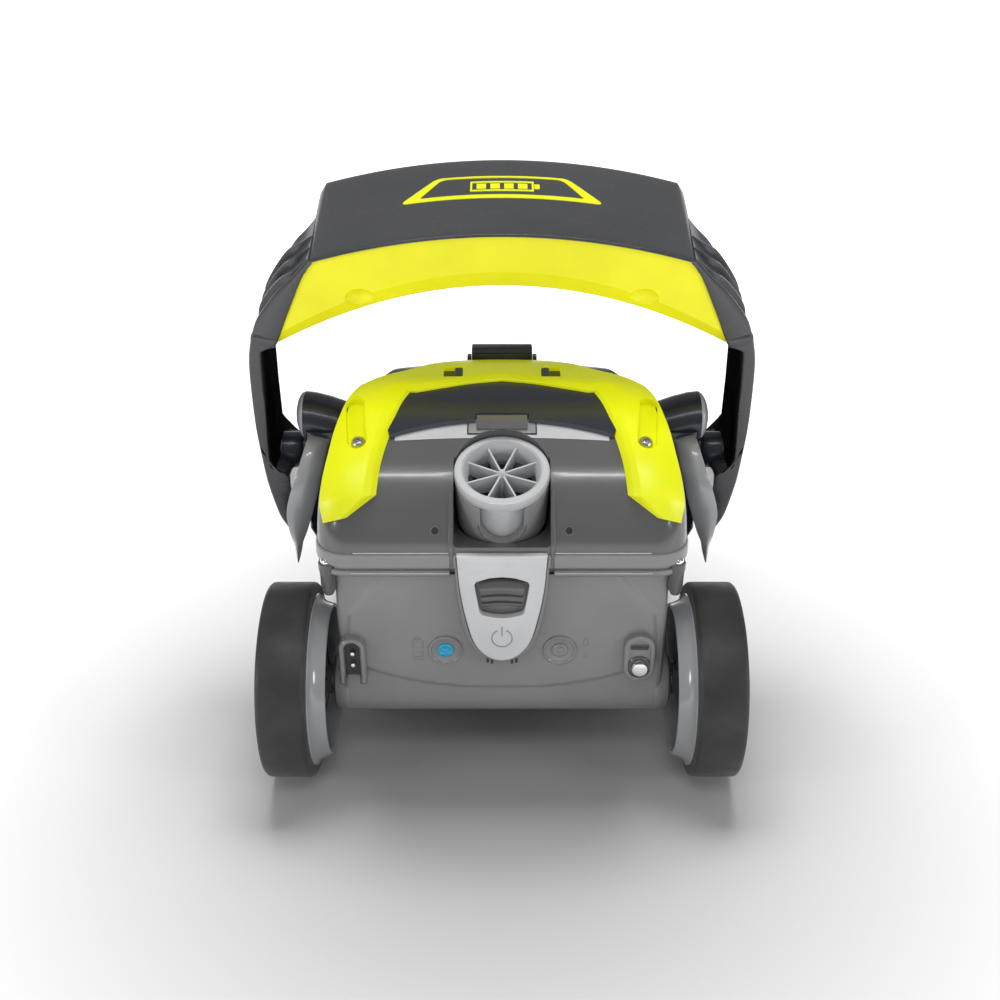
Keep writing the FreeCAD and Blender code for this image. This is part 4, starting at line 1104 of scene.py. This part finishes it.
def shield(widen=0.0):
    """The plate's outline, smooth down to its round foot."""
    half = spline([(x, z, 0) for x, z in PLATE_EDGE], 3)
    centre = Vector((0, 150, 0))
    grown = [p + (p - centre).normalized() * widen for p in half]
    right = [(p.x, min(p.y, 202) if widen else p.y) for p in grown]
    return right + [(-x, z) for x, z in reversed(right[:-1])]


def window_prism(name, outline, rear, front, scale=1):
    """The window's outline made solid between two depths, scaled about its middle."""
    middle = 172
    scaled = [(x * scale, middle + (z - middle) * scale) for x, z in outline]
    return prism(name, scaled, "y", rear, front)


def make_control_plate():
    """The shield-shaped plate, its seat with a dark groove, the slider and four small notches."""
    plate_piece = plate("plate", shield(), "y", -137.2, -131.6, 1.3, 4)
    plate_piece = carve(plate_piece, window_prism("cutter", rounded(WINDOW, 0.8), -150, -120))
    finish_piece(bevel(plate_piece, 0.5), "root", "light_grey", "control_plate")
    seat = plate("seat", shield(4.2), "y", -133.6, -123, 1.6, 4)
    seat = carve(seat, window_prism("well", WINDOW, -150, -128.6, 1.04))
    finish_piece(seat, "root", "tub_grey", "plate_seat")
    groove = plate("groove", shield(1.1), "y", -134.3, -131, 0.4, 2)
    groove = carve(groove, window_prism("well", WINDOW, -150, -120, 1.04))
    finish_piece(groove, "root", "black_plastic")
    finish_piece(window_prism("window_back", WINDOW, -128.4, -127), "root", "black_plastic")
    make_power_mark()
    make_slider()
    notches = [block("notch", (x - 1, -133.8, z - 1.7), (x + 1, -126, z + 1.7)) for x, z in
               ((-10.6, 115.2), (-7.4, 114.2), (7.4, 114.2), (10.6, 115.2))]
    finish_piece(joined("seat_notches", notches), "root", "black_plastic")


def make_power_mark():
    """The usual power sign, a broken ring and a bar, in fine raised line."""
    face, centre, radius, gap = -137.25, 137.4, 7.4, 52
    turns = [math.radians(gap / 2 + (360 - gap) * k / 40) for k in range(41)]
    ring = [(radius * math.sin(a), face, centre + radius * math.cos(a)) for a in turns]
    bar = [(0, face, z) for z in (139.4, 142.2, 145, 147.4)]
    sign = joined("power_sign", [wire("ring", ring, 0.38), wire("bar", bar, 0.38)])
    finish_piece(sign, "root", "tub_grey")


def make_slider():
    """A curved slide button: a bulging upper pad and two grip steps below it."""
    section = [(-129.2, 178.4), (-131.6, 178.6), (-134.6, 177.2), (-136.6, 173), (-136.4, 169.6),
               (-134.6, 168.2), (-134.8, 167.4), (-136.9, 166.6), (-137.1, 164), (-135.2, 163),
               (-135.4, 162.2), (-137.5, 161.4), (-137.6, 160.2), (-136.8, 159.4), (-131.4, 158.8),
               (-131.3, 155.4), (-129.2, 155.4)]
    rings = []
    for k in range(21):
        share = k / 20 * 2 - 1
        sag = 1.6 * share * share
        rings.append([(share * (15.2 + (z - 166) * 0.13), y + abs(share) ** 3 * 0.8, z + 6.6 - sag)
                      for y, z in section])
    slider = skin("slider", rings, smooth=40)
    finish_piece(slider, "power_slider", "shell_grey", "power_slider")


def make_lamps():
    """Two indicator rings, each with its faceted lens; the left ring stands for the CAD's pair."""
    ring = [(12.6, -2), (12.7, 0.3), (12.2, 1.4), (11.3, 1.7), (10.6, 1.2), (10.2, 0.5), (7.4, 0.1),
            (6.4, -0.3), (6.2, -2)]
    glass = [(0, -2), (6.1, -2), (6.1, 0.6), (5.6, 1.5), (4.6, 1.8), (3.6, 1.2), (2.4, 0.9), (1.2, 1.6),
             (0, 1.8)]
    for x, word, colour in ((-42, "left", "blue_lens"), (43, "right", "grey_lens")):
        place = facing_rear(x, PANEL_Y, 119)
        name = ["lamp_rings"] if x < 0 else []
        finish_piece(lathe(f"lamp_ring_{word}", ring, place, 72), "root", "tub_grey", *name)
        finish_piece(lathe(f"lens_{word}", glass, place, 48), "root", colour, f"lamp_lens_{word}")


def make_sensor():
    """An oval boss with a slot in its upper half and a bright stud below."""
    centre, half = 102.2, 11.6
    def oval(reach, low=106, high=123):
        return half_round(centre, high, reach) + half_round(centre, low, reach, 180)
    boss = plate("sensor", oval(half), "y", -131.2, -122, 1.5, 4)
    step = prism("step", oval(half - 3.4), "y", -140, -129.2)
    mouth = rounded([(95.4, 126.8), (95.4, 121.4), (109, 121.4), (109, 126.8)], 2)
    slot = prism("slot", mouth, "y", -140, -123.5)
    boss = carve(boss, step, slot)
    finish_piece(boss, "root", "tub_grey", "sensor_boss")
    place = facing_rear(102.4, -128, 107.6)
    stud = [(0, -3), (6.2, -3), (6.2, 6.2), (5.6, 7.4), (4.2, 7.9), (0, 8)]
    collar = [(6.3, -2), (8.6, -2), (8.6, 2.0), (8, 2.6), (6.3, 2.6)]
    finish_piece(lathe("stud_collar", collar, place, 48), "root", "shell_grey")
    finish_piece(lathe("stud", stud, place, 48), "root", "chrome", "sensor_stud")


# ------------------------------------------------------------------ side pods

def make_pods():
    """Each side pod with its pale blade and its domed end cap; the left cap stands for the CAD's pair."""
    profile = [(0, -1.5), (17.6, -1.5), (18.3, -0.6), (18.3, 0.6), (17.6, 1.8), (16, 3), (13, 4.6),
               (7, 6.3), (0, 6.8)]
    for side, word in SIDES:
        finish_piece(pod_body(side), "root", "navy", f"side_pod_{word}")
        finish_piece(pod_blade(side, word), "root", "silver_blade", slot="silver")
        place = across_place(side, 6, 251.5) @ Matrix.Translation((0, 0, 154.6))
        place = place @ Matrix.Rotation(math.radians(-3.4 * side), 4, "X")
        cap = lathe(f"pod_cap_skin_{word}", profile, place, 72)
        names = ["pod_caps"] if side < 0 else []
        finish_piece(cap, "root", "silver", *names)


def pod_body(side):
    """The neck that reaches out to the handle's pivot and the web below it."""
    turns = degrees(0, 352.5, 7.5)
    sections = ((108, 238, 17), (122, 243.5, 17.5), (134, 247.5, 18), (146, 250.5, 18.3),
                (154.2, 251.5, 18.3))
    neck = skin("neck", [[Vector((side * x, 6 + radius * 1.25 * math.cos(a), z + radius * math.sin(a)))
                          for a in turns] for x, z, radius in sections])
    levels = ((248, -20, 40, 118, 152.2), (232, -22, 40, 122, 151.8), (212, -22, 36, 126, 151),
              (196, -18, 30, 129, 150), (182, -17, 29, 129, 154), (160, -15, 27, 130, 155),
              (147, -12, 24, 131, 150))
    web = []
    for z, rear, front, inner, outer in levels:
        outline = rounded([(inner, rear), (outer, rear), (outer, front), (inner, front)], 6)
        web.append([Vector((side * x, y, z)) for x, y in outline])
    web = skin("web", web)
    boss = lathe("boss", [(0, 148), (17, 148), (17, 158.4), (16, 159.6), (8.3, 159.6), (8.3, 150), (0, 150)],
                 across_place(side, PIVOT_Y, PIVOT_Z), 56)
    return joined("pod", [neck, web, boss])


def pod_blade(side, word):
    """The pale blade in front of the pod: it narrows and twists downward to a point over the wheel."""
    outer = spline([(149, 0, 247), (152.6, 0, 237), (156.4, 0, 226), (162, 0, 210), (165.6, 0, 194),
                    (165.6, 0, 176), (164.8, 0, 158), (163.8, 0, 141)], 4)
    inner = spline([(133, 0, 243), (135, 0, 233), (137.4, 0, 224), (141.4, 0, 208), (146.4, 0, 192),
                    (152.2, 0, 174), (159, 0, 156), (162.6, 0, 140)], 4)
    rings = []
    for k, (out, inn) in enumerate(zip(outer, inner)):
        share = k / (len(outer) - 1)
        depth = -32 - 22 * math.sin(math.pi * min(1, share * 1.15)) ** 0.8
        ring = []
        for n in range(9):
            t = n / 8
            swell = math.sin(math.pi * t) * 6 * (1 - share * 0.6)
            ring.append(Vector((side * (out.x + (inn.x - out.x) * t), depth - swell + 10 * t * (1 - share),
                                out.z + (inn.z - out.z) * t)))
        back = [Vector((side * (out.x + (inn.x - out.x) * t), -18 + 6 * share, out.z + (inn.z - out.z) * t))
                for t in (0.97, 0.5, 0.03)]
        rings.append(ring + back)
    return skin(f"blade_{word}", rings, smooth=50)


# ------------------------------------------------------------------ handle

# sections up the arm: outer and inner (x, z), the lip's width, its rear and front
ARM = [((171, 153), (168, 155), 0, -6, 34), ((175.5, 162), (167.6, 163), 0, -9, 40),
       ((179, 172), (167.4, 174), 0, -12, 46), ((182.4, 190), (167, 192), 0, -16, 54),
       ((185, 207), (167, 200), 0, -19, 60), ((187, 226), (168, 210.5), 0, -20, 62),
       ((188.4, 240), (178, 214), 0.4, -20, 62), ((189.6, 256), (183.4, 223), 2.4, -20, 62),
       ((190.4, 280), (184, 262), 3.4, -20, 62), ((190.5, 300), (184, 296), 3.6, -20, 62),
       ((189.6, 312), (182.6, 315.4), 3.4, -20, 62), ((187.9, 321), (171, 317.5), 0.4, -20, 62)]
# outer and inner (x, z) of the shoulder's rear and front, then its front and how far it is recessed
SHOULDER_REAR = [((185.9, 329), (166.5, 323.5)), ((181.6, 340), (159.8, 340)),
                 ((173.9, 350.8), (154.7, 351.6)), ((164.1, 362.3), (149, 364.5)),
                 ((153.8, 371.7), (143.6, 375)), ((140.6, 385.9), (137.4, 382.5))]
SHOULDER_FRONT = [((188.6, 329), (166.5, 325)), ((186, 342), (160, 342)), ((176, 361), (154, 360)),
                  ((163.5, 380), (148, 374)), ((152.5, 389.6), (143.5, 385)), ((142.5, 397), (138, 391))]
SHOULDER_DEPTH = [62, 60, 57, 54, 53, 51]
SHOULDER_RECESS = [0, 4.6, 4.6, 4.6, 3.4, 0.6]


def arm_ring(side, corners):
    """One section across the arm with rolled corners; corners are (across, rear-front, up)."""
    corners = [Vector(corner) for corner in corners]
    ring = []
    for number, corner in enumerate(corners):
        before, after = corners[number - 1], corners[(number + 1) % len(corners)]
        thick = min((corner - before).length, (corner - after).length)
        reach = min(2.2, thick * 0.3)
        start = corner + (before - corner).normalized() * reach
        end = corner + (after - corner).normalized() * reach
        for t in (0, 0.33, 0.67, 1):
            ring.append(start * (1 - t) ** 2 + corner * 2 * t * (1 - t) + end * t * t)
    return [Vector((side * p.x, p.y, p.z)) for p in ring]


def arm_rows():
    """Outer rear, outer front, inner front, inner rear, then lip width, rear and front, up the arm."""
    rows = [[outer, outer, inner, inner, (lip, rear), (front, 0)] for outer, inner, lip, rear, front in ARM]
    for number, ((ro, ri), (fo, fi)) in enumerate(zip(SHOULDER_REAR, SHOULDER_FRONT)):
        ro, fo = drawn_in(ro, SHOULDER_RECESS[number]), drawn_in(fo, SHOULDER_RECESS[number])
        rows.append([ro, fo, fi, ri, (0, ARM_REAR + (5 if number else 0)), (SHOULDER_DEPTH[number], 0)])
    return rows


def drawn_in(point, distance):
    """A point of the shoulder's outer side, moved toward the hand opening."""
    return point[0] - distance * 0.72, point[1] - distance * 0.69


def make_arms():
    """The two arms with their shoulders, liners and pivot discs."""
    rows = [[Vector((*cell, 0)) for cell in row] for row in arm_rows()]
    columns = [spline([row[k] for row in rows], 4) for k in range(6)]
    for side, word in SIDES:
        rings = []
        for a, b, c, d, rear, front in zip(*columns):
            lip, back = max(0.02, rear.x), rear.y
            rings.append(arm_ring(side, [(a.x, back, a.y), (b.x, front.x, b.y), (c.x, front.x, c.y),
                                         (d.x, back + 7, d.y), (d.x - lip, back + 7, d.y),
                                         (d.x - lip, back, d.y)]))
        arm = skin(f"arm_{word}", rings, smooth=40)
        finish_piece(arm, "handle", "handle_grey", f"handle_arm_{word}", slot="navy")
        finish_piece(shoulder_rim(side, word), "handle", "handle_grey")
        # the arm liner is a sheet of painted shadow over the web's inner face
        finish_piece(arm_shadow_liner(side, word), "handle", "painted_shadow_black", slot="rubber")
        finish_piece(shoulder_liner(side, word), "handle", "navy")
        disc = lathe(f"pivot_disc_{word}", [(0, 160), (14, 160), (14.6, 161), (14.6, 176), (0, 176)],
                     across_place(side, PIVOT_Y, PIVOT_Z), 64)
        finish_piece(disc, "handle", "navy")


def shoulder_liner(side, word):
    """The dark floor of the shoulder's recess, between the rim and the front."""
    rings = []
    for k in range(len(SHOULDER_REAR)):
        recess = max(0.2, SHOULDER_RECESS[k] - 0.5)
        rear, front = drawn_in(SHOULDER_REAR[k][0], recess), drawn_in(SHOULDER_FRONT[k][0], recess)
        back, fore = -14.8, SHOULDER_DEPTH[k] - 0.6
        rings.append([Vector((side * x, y, z)) for x, y, z in
                      ((rear[0], back, rear[1]), (front[0], fore, front[1]),
                       (front[0] - 2, fore, front[1] - 2), (rear[0] - 2, back, rear[1] - 2))])
    columns = [spline([ring[n] for ring in rings], 5) for n in range(4)]
    return skin(f"shoulder_liner_{word}", [list(ring) for ring in zip(*columns)], smooth=40)


def shoulder_rim(side, word):
    """The shoulder's full-size rear rim, in front of the recess with the louvres."""
    below_outer = [(190, 304), (189.2, 313), (187.9, 321)]
    below_inner = [(184, 303), (181.5, 313), (171, 318.5)]
    outer = spline([(*place, 0) for place in below_outer + [far for far, near in SHOULDER_REAR]], 5)
    inner = spline([(*place, 0) for place in below_inner + [near for far, near in SHOULDER_REAR]], 5)
    rings = []
    for out, inn in zip(outer, inner):
        rings.append([Vector((side * x, y, z)) for x, y, z in
                      ((inn.x, -19.2, inn.y), (inn.x + 0.8, -19.9, inn.y + 0.4),
                       (out.x - 1.4, -19.9, out.y - 1.0), (out.x - 0.4, -19.4, out.y - 0.2),
                       (out.x - 0.1, -18, out.y), (out.x - 0.4, -14.6, out.y - 0.3), (inn.x, -14.6, inn.y))])
    return skin(f"shoulder_rim_{word}", rings, smooth=40)


def arm_shadow_liner(side, word):
    """A near-black sheet on the inner face of the arm's web: painted shadow, where that face is dark only
    from shade.
    """
    rings = []
    stations = ((182.6, 3.4, 315.6), (183.2, 3.6, 296), (183.2, 3.4, 262), (182.4, 2.4, 225),
                (177.6, 0.5, 215.5))
    for x, lip, z in stations:
        section = ((x - lip, -18.6), (x - lip, -13.6), (x, -12.6), (x, 60.4), (x + 2, 60.4), (x + 2, -18.6))
        rings.append([Vector((side * a, y, z)) for a, y in section])
    return skin(f"arm_shadow_liner_{word}", rings)


def plate_height(x, y):
    """The top plate's upper surface: an arch across, rising toward the front."""
    share = (y - ARM_REAR) / GRIP_DEPTH
    side_drop = max(0, abs(x) - 138) * 1.3
    return 405 - 19 * (x / 138) ** 2 + share * (27 + 1 * (x / 138) ** 2) - side_drop


def make_top():
    """The arched top plate, its rear edge rolled over."""
    rings = []
    for x in [-143, -142.4, -138.6] + [-137.6 + 275.2 * k / 60 for k in range(61)] + [138.6, 142.4, 143]:
        def at(y, drop):
            return Vector((x, y, plate_height(x, y) - drop))
        rear = [at(-13, 4.2), at(-18.8, 3.2), at(-20, 2.6), at(-20, 1.5), at(-19.5, 0.6), at(-18, 0.1)]
        top = [at(y, 0) for y in (-16.5, -8, 4, 20, 38, 56, 74, 86)]
        rings.append(rear + top + [at(90, 0.3), at(91.6, 1.6), at(92, 3.4), at(91, 6)])
    top = skin("top", rings, smooth=40)
    finish_piece(top, "handle", "handle_grey", "handle_top")
    make_emblem()


def plate_bead(name, outline, inner, proud=0.55):
    """A flat raised band on the top plate between two outlines with equal counts."""
    rings = []
    for (x0, y0), (x1, y1) in zip(outline, inner):
        section = ((0, -1), (0, proud - 0.2), (0.06, proud), (0.94, proud), (1, proud - 0.2), (1, -1))
        ring = [(x0 + (x1 - x0) * share, y0 + (y1 - y0) * share, lift) for share, lift in section]
        rings.append([Vector((x, y, plate_height(x, y) + lift)) for x, y, lift in ring])
    return skin(name, rings, loop=True, smooth=40)


def framed(outer, inner):
    """Two outlines, corner by corner, divided alike."""
    first, second = [], []
    for number in range(len(outer)):
        a0, a1 = Vector(outer[number]), Vector(outer[(number + 1) % len(outer)])
        b0, b1 = Vector(inner[number]), Vector(inner[(number + 1) % len(inner)])
        count = max(1, int((a1 - a0).length / 3))
        first += [a0.lerp(a1, k / count) for k in range(count)]
        second += [b0.lerp(b1, k / count) for k in range(count)]
    return [(p.x, p.y) for p in first], [(p.x, p.y) for p in second]


def make_emblem():
    """A rounded frame on the top plate with a battery pictogram inside it."""
    outer = rounded([(-76.5, 30.5), (76.5, 30.5), (50, 63), (-50, 63)], [3, 3, 12, 12], 6)
    inner = rounded([(-62, 35.5), (62, 35.5), (46, 60.8), (-46, 60.8)], [1.5, 1.5, 9, 9], 6)
    row = 48
    outlines = [("frame", outer, inner), ("cell", box_line(0, row, 24, 7.2), box_line(0, row, 22.4, 5.4))]
    outlines += [("bar", box_line(x, row, 3.6, 3.6), box_line(x, row, 0.4, 0.4))
                 for x in (-15.6, -5.2, 5.2, 15.6)]
    outlines.append(("cap", box_line(26.4, row, 2, 3.2), box_line(26.4, row, 0.3, 0.5)))
    pieces = [plate_bead(name, *framed(around, within)) for name, around, within in outlines]
    finish_piece(joined("emblem_frame", pieces), "handle", "lime", "emblem")


def grip_edges(x):
    """Upper edge, crease and lower edge of the grip's rear face at one place across."""
    low = 364 - 43 * (x / 165) ** 2
    high = 402.3 - 18.5 * (x / 139.5) ** 2
    if abs(x) > 139.5:
        high = 383.8 - (abs(x) - 139.5) / 29.5 * 58.8
    high = max(high, low + 0.4)
    crease = low + min(11.4 - 3.4 * (x / 150) ** 2, (high - low) * 0.55)
    return high, crease, low


def make_grip():
    """The lime grip under the plate's rear, with a shallow scoop near each end."""
    rings = []
    count = 96
    for k in range(count + 1):
        x = -168.8 + 337.6 * k / count
        high, crease, low = grip_edges(x)
        mid = (high + crease) / 2
        rings.append([(x, -8, high - 0.2), (x, -17.4, high), (x, -18.4, mid), (x, -18.6, crease + 0.8),
                      (x, -18.3, crease), (x, -14.2, low + 0.9), (x, -12.6, low), (x, 0, low + 0.2),
                      (x, 8.6, low + 1), (x, 10, low + 2), (x, 10, max(low + 2.4, high - 2))])
    grip = skin("grip", rings, smooth=22)
    scoop_x, radius = 104, 9
    half_circle = [(radius * math.cos(a), radius * math.sin(a)) for a in degrees(-75, 75, 15)]
    ball = [(0, -radius)] + half_circle + [(0, radius)]
    level = grip_edges(scoop_x)[1] - 0.6
    for side in (-1, 1):
        place = Matrix.Translation((scoop_x * side, -21.5, level)) @ Matrix.Diagonal((1.3, 1, 0.86, 1))
        grip = carve(grip, lathe("scoop", ball, place, 40), smooth=22)
    finish_piece(grip, "handle", "lime_grip", "lime_grip", slot="lime")


def louvre_path(number):
    """A line over the shoulder's outer side, which runs further toward the front as it comes down."""
    count = len(SHOULDER_REAR)
    path = []
    for k in range(count):
        share = min(1, 0.04 + 0.26 * number + 0.34 * (1 - k / (count - 1)) * 1.3)
        rear, front = Vector(SHOULDER_REAR[k][0]), Vector(SHOULDER_FRONT[k][0])
        across, up = rear.lerp(front, share)
        path.append((across, ARM_REAR + (SHOULDER_DEPTH[k] - ARM_REAR) * share, up))
    return spline(path, 5)[:-1]


def louvre(side, number):
    """One blade along its path, proud of the shoulder by a height that swells and fades."""
    path = louvre_path(number)
    last = len(path) - 1
    rings = []
    for k, here in enumerate(path):
        run = path[min(k + 1, last)] - path[max(k - 1, 0)]
        out = Vector((-run.z, 0, run.x)).normalized()
        out = out if out.x > 0 or out.z > 0 else -out
        proud = 0.7 * math.sin(math.pi * min(1, 0.12 + 0.8 * k / last)) ** 0.7 - 0.3
        top, foot = here + out * proud, here - out * 6
        section = (foot, top - out * 0.6, top, top + Vector((0, 2.4, 0)), foot + Vector((0, 4.2, 0)))
        rings.append([Vector((side * min(p.x, 190.8), p.y, p.z)) for p in section])
    return skin("blade", rings, smooth=40)


def make_louvres():
    """Three blades on each shoulder; the left ones stand for the CAD's whole set."""
    for side, word in SIDES:
        blades = [louvre(side, number) for number in range(3)]
        names = ["shoulder_louvres"] if side < 0 else []
        finish_piece(joined(f"louvres_{word}", blades), "handle", "handle_grey", *names, slot="navy")


make_stage()
paint_cad_nodes()
make_shell()
make_lid()
make_band()
make_nozzle()
make_rear_wheels()
make_front_wheels()
make_housing()
make_control_plate()
make_lamps()
make_sensor()
make_pods()
make_arms()
make_top()
make_grip()
make_louvres()
